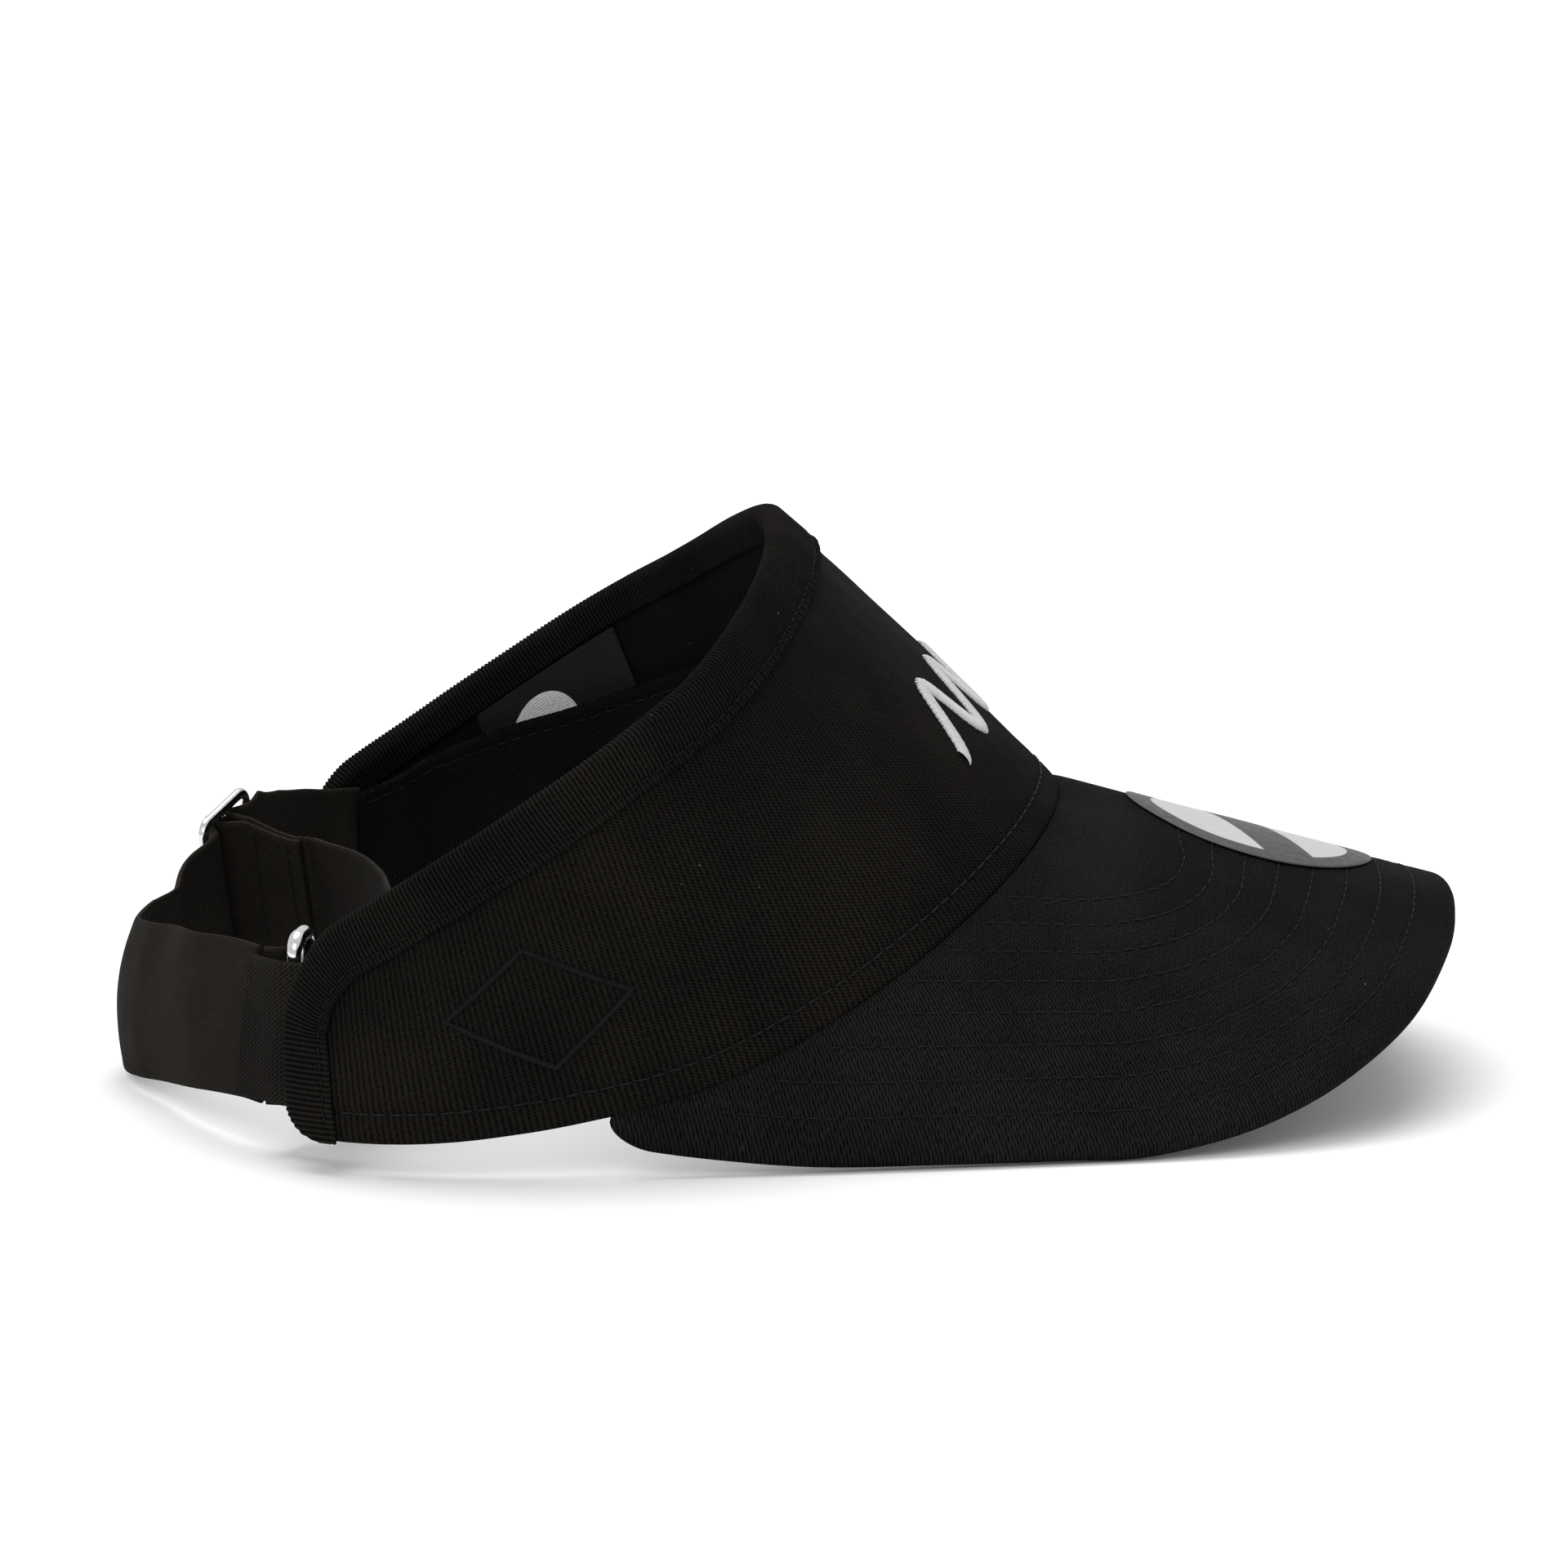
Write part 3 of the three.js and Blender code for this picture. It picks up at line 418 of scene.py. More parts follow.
def stitch_row(name, line, normals, material, body="visor", pitch=STITCH, gap=0.5, seed=1, **thread):
    """A line of stitches along dense points, each a little off the next."""
    rng = np.random.default_rng(seed)
    walked = np.concatenate([[0], np.cumsum(np.linalg.norm(np.diff(line, axis=0), axis=1))])
    count = max(2, int(walked[-1] / pitch))
    marks = (np.arange(count) + 0.5 + rng.uniform(-0.05, 0.05, count)) * walked[-1] / count
    half = (pitch - gap) / 2

    def along(values, at):
        return np.stack([np.interp(at, walked, values[:, i]) for i in range(3)], -1)

    side = unit(np.cross(along(normals, marks), along(line, marks + 0.3) - along(line, marks - 0.3)))
    sway = side * rng.uniform(-0.09, 0.09, (count, 1))
    return thread_bits(name, along(line, marks - half) + sway, along(line, marks + half) - sway,
                       unit(along(normals, marks)), material, body, **thread)


def satin_row(name, line, normals, width, material, pitch=SATIN_PITCH, seed=5, rise=0.55, slant=0.25, radius=0.19):
    """Satin stitch: threads laid side by side across a stroke."""
    rng = np.random.default_rng(seed)
    walked = np.concatenate([[0], np.cumsum(np.linalg.norm(np.diff(line, axis=0), axis=1))])
    marks = np.arange(pitch / 2, walked[-1], pitch)
    at = np.stack([np.interp(marks, walked, line[:, i]) for i in range(3)], -1)
    out = unit(np.stack([np.interp(marks, walked, normals[:, i]) for i in range(3)], -1))
    ahead = np.stack([np.interp(marks + 0.2, walked, line[:, i]) for i in range(3)], -1)
    back = np.stack([np.interp(marks - 0.2, walked, line[:, i]) for i in range(3)], -1)
    way = unit(ahead - back)
    side = unit(np.cross(out, way))
    half = (width / 2 + rng.uniform(-0.12, 0.12, (len(marks), 1)))
    lean = way * slant
    return thread_bits(name, at - side * half - lean, at + side * half + lean, out, material,
                       radius=radius, rise=rise, sink=0.05, sides=6, taper=0.7)


# ---- finishes: what several materials share --------------------------------------------------------


class Group:
    """A shader node group with named inputs and outputs."""

    def __init__(self, name, takes, gives):
        self.tree = bpy.data.node_groups.new(name, "ShaderNodeTree")
        kinds = {"value": "NodeSocketFloat", "colour": "NodeSocketColor", "place": "NodeSocketVector"}
        for label, kind, start in takes:
            socket = self.tree.interface.new_socket(name=label, in_out="INPUT", socket_type=kinds[kind])
            if start is not None:
                socket.default_value = start
        for label, kind in gives:
            self.tree.interface.new_socket(name=label, in_out="OUTPUT", socket_type=kinds[kind])
        self.into = self.tree.nodes.new("NodeGroupInput")
        self.out = self.tree.nodes.new("NodeGroupOutput")

    def give(self, label, source):
        self.tree.links.new(source, self.out.inputs[label])


def feed(tree, socket, source):
    """Links a socket to another, or sets its value."""
    if isinstance(source, bpy.types.NodeSocket):
        tree.links.new(source, socket)
    elif source is not None:
        socket.default_value = source


def sum_of(tree, operation, *sources):
    node = tree.nodes.new("ShaderNodeMath")
    node.operation = operation
    for socket, source in zip(node.inputs, sources):
        feed(tree, socket, source)
    return node.outputs[0]


def across(tree, place, way):
    """How far a place lies along a direction."""
    node = tree.nodes.new("ShaderNodeVectorMath")
    node.operation = "DOT_PRODUCT"
    feed(tree, node.inputs[0], place)
    feed(tree, node.inputs[1], way)
    return node.outputs["Value"]


def noise_at(tree, place, scale, detail=2.0, roughness=0.5):
    node = tree.nodes.new("ShaderNodeTexNoise")
    feed(tree, node.inputs["Vector"], place)
    feed(tree, node.inputs["Scale"], scale)
    feed(tree, node.inputs["Detail"], detail)
    feed(tree, node.inputs["Roughness"], roughness)
    return node.outputs[0]


def mixed(tree, share, a, b):
    node = tree.nodes.new("ShaderNodeMix")
    node.data_type = "RGBA"
    feed(tree, node.inputs[0], share)
    feed(tree, node.inputs[6], a)
    feed(tree, node.inputs[7], b)
    return node.outputs[2]


def ramp(tree, source, low, high, to_low=0.0, to_high=1.0):
    node = tree.nodes.new("ShaderNodeMapRange")
    node.interpolation_type = "SMOOTHSTEP"
    for socket, value in zip(node.inputs, (source, low, high, to_low, to_high)):
        feed(tree, socket, value)
    return node.outputs[0]


def wave_of(tree, distance, pitch, wobble):
    """A sine from 0 to 1 along a distance, pushed about a little."""
    turns = sum_of(tree, "DIVIDE", distance, pitch)
    turns = sum_of(tree, "ADD", turns, wobble)
    sine = sum_of(tree, "SINE", sum_of(tree, "MULTIPLY", turns, 2 * math.pi))
    return sum_of(tree, "MULTIPLY_ADD", sine, 0.5, 0.5)


def weave_group():
    """Yarns of a twill or ribbed cloth: a diagonal wale, ribs along the cloth's length and yarns across them."""
    g = Group("Weave", [("Pattern", "place", None), ("Wale Pitch", "value", 0.55), ("Wale Way", "place", (0.7, 0.7, 0)),
                        ("Rib Pitch", "value", 1.0), ("Rib Way", "place", (1, 0, 0)), ("Ribs", "value", 0.3),
                        ("Yarn Wander", "value", 0.25)],
              [("Height", "value"), ("Shade", "value")])
    t, take = g.tree, g.into.outputs
    wander = sum_of(t, "MULTIPLY", sum_of(t, "SUBTRACT", noise_at(t, take["Pattern"], 0.45, 3.0), 0.5),
                    take["Yarn Wander"])
    wale = wave_of(t, across(t, take["Pattern"], take["Wale Way"]), take["Wale Pitch"], wander)
    rib = wave_of(t, across(t, take["Pattern"], take["Rib Way"]), take["Rib Pitch"], wander)
    fuzz = noise_at(t, take["Pattern"], 1.7, 3.0, 0.75)
    body = sum_of(t, "MULTIPLY_ADD", sum_of(t, "SUBTRACT", rib, wale), take["Ribs"], wale)
    height = sum_of(t, "MULTIPLY_ADD", sum_of(t, "SUBTRACT", fuzz, 0.5), 1.6, body)
    g.give("Height", height)
    # Shade is the height from 0 to 1. The cloth and label colours use it as painted shade in the weave's grooves.
    g.give("Shade", ramp(t, height, -0.1, 1.1))
    return g.tree


def dye_lint_and_weave_shade_group():
    """Unevenness of dyed cloth: slow fading, lint caught in the weave, and painted shade in the weave's grooves."""
    g = Group("Dye, Lint and Weave Shade", [("Place", "place", None), ("Pattern", "place", None), ("Dye", "colour", (0, 0, 0, 1)),
                               ("Faded", "colour", (0, 0, 0, 1)), ("Lint Colour", "colour", (0.2, 0.2, 0.2, 1)),
                               ("Shade", "value", 0.5), ("Contrast", "value", 0.5), ("Lint", "value", 0.5)],
              [("Colour", "colour"), ("Roughness", "value")])
    t, take = g.tree, g.into.outputs
    slow = ramp(t, noise_at(t, take["Place"], 34.0, 4.0, 0.6), 0.3, 0.7)
    tone = mixed(t, slow, take["Dye"], take["Faded"])
    # Painted shade: the weave's Shade darkens the dye in the grooves between yarns, more with a higher Contrast.
    shade = sum_of(t, "MULTIPLY_ADD", sum_of(t, "SUBTRACT", take["Shade"], 0.5), take["Contrast"], 1.0)
    dark = t.nodes.new("ShaderNodeVectorMath")
    dark.operation = "SCALE"
    feed(t, dark.inputs[0], tone)
    feed(t, dark.inputs["Scale"], shade)
    spots = t.nodes.new("ShaderNodeTexVoronoi")
    feed(t, spots.inputs["Vector"], take["Pattern"])
    spots.inputs["Scale"].default_value = 0.21
    speck = sum_of(t, "LESS_THAN", spots.outputs["Distance"], 0.036)
    picked = sum_of(t, "GREATER_THAN", noise_at(t, take["Pattern"], 0.11), 0.56)
    lint = sum_of(t, "MULTIPLY", sum_of(t, "MULTIPLY", speck, picked), take["Lint"])
    g.give("Colour", mixed(t, lint, dark.outputs[0], take["Lint Colour"]))
    g.give("Roughness", ramp(t, slow, 0, 1, 0.98, 0.86))
    return g.tree


def twist_group():
    """The plies of a sewing thread, seen along it, with painted shade between the plies and a random unevenness of
    tone.
    """
    g = Group("Thread Twist", [("Pattern", "place", None), ("Pitch", "value", 0.35), ("Dye", "colour", (1, 1, 1, 1)),
                               ("Depth", "value", 0.4)], [("Colour", "colour"), ("Height", "value")])
    t, take = g.tree, g.into.outputs
    plies = wave_of(t, across(t, take["Pattern"], (1.0, 0.8, 0)), take["Pitch"], 0.0)
    uneven = noise_at(t, take["Pattern"], 1.3)
    # Painted shade: the thread's colour darkens between the plies, by Depth.
    shade = sum_of(t, "SUBTRACT", 1.0, sum_of(t, "MULTIPLY", sum_of(t, "SUBTRACT", 1.0, plies), take["Depth"]))
    shade = sum_of(t, "MULTIPLY", shade, ramp(t, uneven, 0.2, 0.8, 0.8, 1.1))
    tint = t.nodes.new("ShaderNodeVectorMath")
    tint.operation = "SCALE"
    feed(t, tint.inputs[0], take["Dye"])
    feed(t, tint.inputs["Scale"], shade)
    g.give("Colour", tint.outputs[0])
    g.give("Height", plies)
    return g.tree


WEAVE, DYE_LINT_AND_WEAVE_SHADE, TWIST = weave_group(), dye_lint_and_weave_shade_group(), twist_group()


def new_material(name):
    """An empty material with its shader, and the tree."""
    material = bpy.data.materials.new(name)
    material.use_nodes = True
    tree = material.node_tree
    shader = tree.nodes["Principled BSDF"]
    return material, tree, shader


def placed_group(tree, group, **values):
    node = tree.nodes.new("ShaderNodeGroup")
    node.node_tree = group
    for label, value in values.items():
        feed(tree, node.inputs[label.replace("_", " ")], value)
    return node


def bump(tree, shader, height, distance, strength=1.0):
    node = tree.nodes.new("ShaderNodeBump")
    node.inputs["Distance"].default_value = distance * MM
    node.inputs["Strength"].default_value = strength
    feed(tree, node.inputs["Height"], height)
    tree.links.new(node.outputs["Normal"], shader.inputs["Normal"])


def grey(level, warm=0.0):
    """A dark dye: its level, warmer with a positive warm and bluer with a negative one."""
    return (level * (1 + warm), level, level * (1 - warm), 1)


def cloth(name, dye, faded, wale=0.55, wale_way=(0.7, 0.7, 0), rib=1.0, rib_way=(1, 0, 0), ribs=0.3, depth=0.12,
          contrast=1.3, lint=0.5, specular=0.03, wander=0.25):
    """A woven cloth, its colour darkened in the weave's grooves as painted shade. Its pattern coordinates are
    millimetres of the flat cut.
    """
    material, tree, shader = new_material(name)
    pattern = tree.nodes.new("ShaderNodeUVMap")
    pattern.uv_map = "Pattern"
    place = tree.nodes.new("ShaderNodeTexCoord")
    weave = placed_group(tree, WEAVE, Pattern=pattern.outputs[0], Wale_Pitch=wale, Wale_Way=wale_way, Rib_Pitch=rib,
                         Rib_Way=rib_way, Ribs=ribs, Yarn_Wander=wander)
    toned_and_shaded = placed_group(tree, DYE_LINT_AND_WEAVE_SHADE, Place=place.outputs["Object"], Pattern=pattern.outputs[0], Dye=dye, Faded=faded,
                        Lint_Colour=grey(0.12), Shade=weave.outputs["Shade"], Contrast=contrast, Lint=lint)
    feed(tree, shader.inputs["Base Color"], toned_and_shaded.outputs["Colour"])
    feed(tree, shader.inputs["Roughness"], toned_and_shaded.outputs["Roughness"])
    shader.inputs["Specular IOR Level"].default_value = specular
    bump(tree, shader, weave.outputs["Height"], depth)
    return material


def thread_finish(name, dye, gloss=0.45, specular=0.3, depth=0.45):
    material, tree, shader = new_material(name)
    pattern = tree.nodes.new("ShaderNodeUVMap")
    pattern.uv_map = "Pattern"
    twist = placed_group(tree, TWIST, Pattern=pattern.outputs[0], Dye=dye, Depth=depth)
    feed(tree, shader.inputs["Base Color"], twist.outputs["Colour"])
    shader.inputs["Roughness"].default_value = gloss
    shader.inputs["Specular IOR Level"].default_value = specular
    bump(tree, shader, twist.outputs["Height"], 0.05)
    return material


def chrome_finish(name):
    """Polished plating, faintly hazed and scratched where it is handled."""
    material, tree, shader = new_material(name)
    place = tree.nodes.new("ShaderNodeTexCoord")
    haze = noise_at(tree, place.outputs["Object"], 420.0, 4.0, 0.65)
    fine = noise_at(tree, place.outputs["Object"], 2600.0, 2.0, 0.6)
    feed(tree, shader.inputs["Base Color"], mixed(tree, ramp(tree, haze, 0.35, 0.7), (0.78, 0.78, 0.77, 1),
                                                  (0.62, 0.62, 0.63, 1)))
    feed(tree, shader.inputs["Roughness"], ramp(tree, haze, 0.3, 0.75, 0.07, 0.2))
    shader.inputs["Metallic"].default_value = 1.0
    bump(tree, shader, fine, 0.006)
    return material


def board_finish(name):
    """Moulded board inside the brim, with a fine grain."""
    material, tree, shader = new_material(name)
    place = tree.nodes.new("ShaderNodeTexCoord")
    grain = noise_at(tree, place.outputs["Object"], 900.0, 3.0)
    feed(tree, shader.inputs["Base Color"], mixed(tree, grain, (0.02, 0.02, 0.021, 1), (0.035, 0.034, 0.033, 1)))
    feed(tree, shader.inputs["Roughness"], ramp(tree, grain, 0.3, 0.7, 0.5, 0.7))
    bump(tree, shader, grain, 0.05)
    return material


def masked_print(tree, pattern, edges):
    """1 in the rings between pairs of radii round the pattern's middle, and 0 outside them."""
    far = tree.nodes.new("ShaderNodeVectorMath")
    far.operation = "LENGTH"
    feed(tree, far.inputs[0], pattern)
    total = 0.0
    for inner, outer in edges:
        ring = sum_of(tree, "MULTIPLY", ramp(tree, far.outputs["Value"], inner - 0.08, inner + 0.08),
                      ramp(tree, far.outputs["Value"], outer - 0.08, outer + 0.08, 1.0, 0.0))
        total = sum_of(tree, "ADD", total, ring)
    return total


def sticker_finish(name):
    """Thin foil with a plain printed ring and a plain band across it."""
    material, tree, shader = new_material(name)
    pattern = tree.nodes.new("ShaderNodeUVMap")
    pattern.uv_map = "Pattern"
    ring = masked_print(tree, pattern.outputs[0], [(16.8, 22.0)])
    band = ramp(tree, sum_of(tree, "ABSOLUTE", across(tree, pattern.outputs[0], (0.94, 0.34, 0))), 4.4, 4.7, 1.0, 0.0)
    ring = sum_of(tree, "MAXIMUM", ring, band)
    mottle = noise_at(tree, pattern.outputs[0], 0.6, 3.0)
    foil = mixed(tree, mottle, (0.40, 0.40, 0.40, 1), (0.52, 0.52, 0.52, 1))
    feed(tree, shader.inputs["Base Color"], mixed(tree, ring, foil, (0.04, 0.04, 0.042, 1)))
    feed(tree, shader.inputs["Roughness"], ramp(tree, mottle, 0.3, 0.7, 0.4, 0.55))
    shader.inputs["Specular IOR Level"].default_value = 0.25
    bump(tree, shader, noise_at(tree, pattern.outputs[0], 0.25, 2.0), 0.12)
    return material


def label_finish(name):
    """Woven satin label with a plain white disc woven into it."""
    material, tree, shader = new_material(name)
    pattern = tree.nodes.new("ShaderNodeUVMap")
    pattern.uv_map = "Pattern"
    weave = placed_group(tree, WEAVE, Pattern=pattern.outputs[0], Wale_Pitch=0.42, Wale_Way=(0.4, 0.9, 0),
                         Rib_Pitch=0.5, Rib_Way=(0, 1, 0), Ribs=0.5, Yarn_Wander=0.1)
    disc = masked_print(tree, pattern.outputs[0], [(-1.0, 7.5)])
    # Painted shade: the weave's Shade darkens both the ground and the disc in the weave's grooves.
    ground = mixed(tree, weave.outputs["Shade"], (0.005, 0.0053, 0.0053, 1), (0.011, 0.0115, 0.0115, 1))
    mark = mixed(tree, weave.outputs["Shade"], (0.42, 0.43, 0.44, 1), (0.75, 0.76, 0.77, 1))
    feed(tree, shader.inputs["Base Color"], mixed(tree, disc, ground, mark))
    feed(tree, shader.inputs["Roughness"], ramp(tree, weave.outputs["Shade"], 0, 1, 0.55, 0.4))
    shader.inputs["Specular IOR Level"].default_value = 0.1
    bump(tree, shader, weave.outputs["Height"], 0.07)
    return material


PANEL = cloth("Panel Twill", grey(0.0050, 0.14), grey(0.0078, 0.16), wale=0.52, wale_way=(0.5, 0.87, 0), rib=1.02,
              ribs=0.55, depth=0.2, contrast=1.6)
BRIM_CLOTH = cloth("Brim Twill", grey(0.0060, 0.09), grey(0.0092, 0.1), wale=0.62, wale_way=(0.8, 0.6, 0), rib=0.5,
                   ribs=0.4, depth=0.18, contrast=1.7)
LINING = cloth("Lining Twill", grey(0.0042, 0.1), grey(0.0062, 0.12), wale=0.5, rib=0.62, ribs=0.7, depth=0.12)
TAPE = cloth("Ribbed Tape", grey(0.0048, 0.12), grey(0.0076, 0.14), wale=0.4, wale_way=(0.3, 0.95, 0), rib=RIB,
             rib_way=(1, 0, 0), ribs=0.85, depth=0.1, contrast=1.5, wander=0.04)
TOWEL = cloth("Sweatband Cloth", grey(0.0042, 0.0), grey(0.0062, 0.02), wale=0.6, rib=0.7, ribs=0.3, depth=0.16,
              specular=0.02)
SATIN = cloth("Strap Webbing", grey(0.0085, 0.2), grey(0.0125, 0.2), wale=0.5, wale_way=(0.86, 0.5, 0), rib=0.36,
              rib_way=(0, 1, 0), ribs=0.75, depth=0.08, contrast=0.9, specular=0.07)
TAB_CLOTH = cloth("Tab Twill", grey(0.0090, 0.12), grey(0.0132, 0.13), wale=0.6, wale_way=(0.62, 0.78, 0), rib=1.0,
                  ribs=0.25, depth=0.15)
BOARD = board_finish("Brim Board")
CHROME = chrome_finish("Polished Chrome")
STICKER_FOIL = sticker_finish("Sticker Foil")
LABEL = label_finish("Woven Label")
WHITE_THREAD = thread_finish("White Embroidery Thread", (0.9, 0.9, 0.9, 1), gloss=0.45, depth=0.25)
BLACK_THREAD = thread_finish("Black Thread", grey(0.009, 0.05), gloss=0.6, specular=0.12)
TAPE_THREAD = thread_finish("Tape Thread", grey(0.0105, 0.08), gloss=0.7, specular=0.06)
TONAL_THREAD = thread_finish("Tonal Embroidery Thread", grey(0.0088, 0.06), gloss=0.55, specular=0.12)
HEM_THREAD = thread_finish("Hem Thread", grey(0.019, 0.03), gloss=0.6, specular=0.12)
BRIM_THREAD = thread_finish("Brim Thread", (0.0125, 0.0115, 0.0158, 1), gloss=0.6, specular=0.12)

# ---- camera, floor and light -----------------------------------------------------------------------

CAMERA_TURN, CAMERA_RISE, CAMERA_AWAY = math.radians(-2), math.radians(10), 1.6
CAMERA_AIM = Vector(in_frame(point(112, 0, 48.8)))


def make_camera():
    camera = bpy.data.objects.new("camera", bpy.data.cameras.new("camera"))
    camera.data.lens, camera.data.sensor_width = 216, 36
    camera.data.clip_start, camera.data.clip_end = 0.05, 20
    back = Vector((math.sin(CAMERA_TURN) * math.cos(CAMERA_RISE), -math.cos(CAMERA_TURN) * math.cos(CAMERA_RISE),
                   math.sin(CAMERA_RISE)))
    camera.location = CAMERA_AIM + back * CAMERA_AWAY
    camera.rotation_euler = (-back).to_track_quat("-Z", "Y").to_euler()
    bpy.context.scene.collection.objects.link(camera)
    bpy.context.scene.camera = camera


def make_floor():
    material, tree, shader = new_material("Pale Floor")
    place = tree.nodes.new("ShaderNodeTexCoord")
    feed(tree, shader.inputs["Base Color"], mixed(tree, noise_at(tree, place.outputs["Object"], 3.0),
                                                  (0.9, 0.9, 0.9, 1), (0.92, 0.92, 0.92, 1)))
    shader.inputs["Roughness"].default_value = 0.9
    shader.inputs["Specular IOR Level"].default_value = 0.0
    mesh = bpy.data.meshes.new("floor")
    half = 6.0
    mesh.from_pydata([(-half, -half, 0), (half, -half, 0), (half, half, 0), (-half, half, 0)], [], [(0, 1, 2, 3)])
    mesh.materials.append(material)
    floor = bpy.data.objects.new("floor", mesh)
    floor.location.z = cad_box[0].z - 0.0005
    bpy.context.scene.collection.objects.link(floor)


def soft_light(name, place, size, watts, aim=(0, 0, 0.03)):
    lamp = bpy.data.lights.new(name, "AREA")
    lamp.shape, lamp.size, lamp.size_y, lamp.energy = "RECTANGLE", size[0], size[1], watts
    holder = bpy.data.objects.new(name, lamp)
    holder.location = place
    holder.rotation_euler = (Vector(aim) - Vector(place)).to_track_quat("-Z", "Y").to_euler()
    bpy.context.scene.collection.objects.link(holder)


def make_light():
    world = bpy.data.worlds.new("studio")
    world.use_nodes = True
    world.node_tree.nodes["Background"].inputs["Color"].default_value = (1, 1, 1, 1)
    world.node_tree.nodes["Background"].inputs["Strength"].default_value = 0.76
    bpy.context.scene.world = world
    key = bpy.data.lights.new("overhead_key", "SUN")
    key.energy, key.angle = 1.75, math.radians(50)
    holder = bpy.data.objects.new("overhead_key", key)
    holder.rotation_euler = Vector((0.05, -0.35, -1.0)).to_track_quat("-Z", "Y").to_euler()
    bpy.context.scene.collection.objects.link(holder)
    soft_light("front_softbox", (-0.5, -1.2, 1.0), (1.0, 0.7), 6)
    bpy.context.scene.view_settings.view_transform = "Standard"


make_camera()
make_floor()
make_light()

# ---- brim ------------------------------------------------------------------------------------------


def groove_depth(points):
    """How deep the stitching pulls the brim's cloth in at each point."""
    tree = kdtree.KDTree(sum(len(line) for line in row_lines))
    for line in row_lines:
        for p in brim_at(line, np.zeros(len(line))):
            tree.insert(p, 0)
    tree.balance()
    near = np.array([tree.find(p)[2] for p in points.reshape(-1, 3)]).reshape(points.shape[:-1])
    channel = np.exp(-((near / 0.75) ** 2))
    swell = smooth_step(near, 0, ROW_PITCH / 2)
    return 0.15 * channel - 0.05 * swell


def brim_plan(s, v, tuck, edge):
    """Places in plan from the seam, v 0, to the outer edge, v 1. The rear corners are rounded off."""
    inner = inset(seam_front, s, np.full_like(s, tuck))
    outer = inset(outline, s, np.full_like(s, edge))
    from_end = np.clip(np.minimum(s, 1 - s) * outline.length / BRIM_END_R, 0, 1)
    reach = np.maximum(0.03, np.sqrt(1 - (1 - from_end) ** 2))
    return inner + (outer - inner) * (v * reach)[..., None]


def brim_cover(name, depth, thick, down, material):
    """One covering of the brim, turned over the board's edge: down is -1 for the top cloth and 1 for the under one."""
    s, v = cloth_grid(620, 165)
    v = 1 - (1 - v) ** 1.05
    plan = brim_plan(s, v, BRIM_TUCK, 0.0)
    flat_top = brim_at(plan, np.zeros_like(s))
    groove = groove_depth(flat_top)
    to_edge = np.linalg.norm(flat_top - flat_top[:, -1:], axis=-1)
    to_end = np.minimum(s, 1 - s) * outline.length
    turn_r = BRIM_DEPTH / 2
    edge = np.minimum(to_edge, to_end + 0.35)
    turned = turn_r - np.sqrt(np.maximum(turn_r**2 - np.maximum(turn_r - edge, 0) ** 2, 0))
    seam_roll = 0.7 * np.exp(-np.linalg.norm(flat_top - flat_top[:, :1], axis=-1) / 0.9)
    uneven = 0.07 * drift(plan[..., 0], plan[..., 1], 8, 34)
    outside = depth + down * (np.minimum(turned, turn_r - 0.05) + groove + seam_roll) + uneven
    inside = outside + down * thick * np.minimum(1, 0.08 + edge / 1.6)
    patterns = np.stack([plan[..., 0], plan[..., 1] * 1.12], -1)
    return slab(name, brim_at(plan, outside), brim_at(plan, inside), material, patterns=patterns)


def brim_normals(line):
    return unit(brim_at(line, np.ones(len(line))) - brim_at(line, np.zeros(len(line))))


def make_brim():
    top = brim_cover("brim_top_cloth", 0.0, COVER_T, -1, BRIM_CLOTH)
    under = brim_cover("brim_under_cloth", -BRIM_DEPTH, COVER_T, 1, LINING)
    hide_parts("brim_top_cover")
    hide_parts("brim_under_cover")
    for row, plan in enumerate(row_lines):
        normals = brim_normals(plan)
        above = brim_at(plan, np.full(len(plan), -0.08))
        piece = stitch_row(f"brim_stitches_{row + 1}", above, normals, BRIM_THREAD, seed=20 + row, radius=0.15,
                           rise=0.18)
        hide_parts(f"brim_stitch_row_{row + 1}")
        below = brim_at(plan, np.full(len(plan), -BRIM_DEPTH + 0.08))
        lower = stitch_row(f"brim_bobbin_stitches_{row + 1}", below, -normals, BRIM_THREAD, seed=40 + row, radius=0.14,
                           rise=0.18)
    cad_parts["brim_board"].data.materials.clear()
    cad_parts["brim_board"].data.materials.append(BOARD)


def make_sticker():
    turn, out = cloth_grid(97, 26)
    turn, r = turn * 2 * math.pi, out * STICKER["r"]
    plan = np.stack([STICKER["x"] + r * np.cos(turn), STICKER["y"] + r * np.sin(turn), np.zeros_like(r)], -1)
    lie = 0.34 + 0.1 * drift(plan[..., 0], plan[..., 1], 12, 26) * out
    number = np.arange(turn.size // 97 * 96).reshape(96, 26)
    top, under = brim_at(plan, lie + 0.1)[:-1], brim_at(plan, lie)[:-1]
    around = np.roll(number, -1, axis=0)
    count = number.size
    faces = np.stack([number[:, 1:-1], number[:, 2:], around[:, 2:], around[:, 1:-1]], -1).reshape(-1, 4)
    fan = np.stack([np.full(96, number[0, 0]), number[:, 1], around[:, 1]], -1)
    rimmed = np.stack([number[:, -1], number[:, -1] + count, around[:, -1] + count, around[:, -1]], -1)
    used = np.concatenate([top.reshape(-1, 3), under.reshape(-1, 3)])
    every = [faces, faces[:, ::-1] + count, fan, fan[:, ::-1] + count, rimmed]
    used, every, flat = without_spares(used, every, np.stack([r * np.cos(turn), r * np.sin(turn)], -1)[:-1])
    piece = make_piece("brim_sticker_foil", used, turned_out(used, every), STICKER_FOIL, "visor", flat)
    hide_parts("brim_sticker")


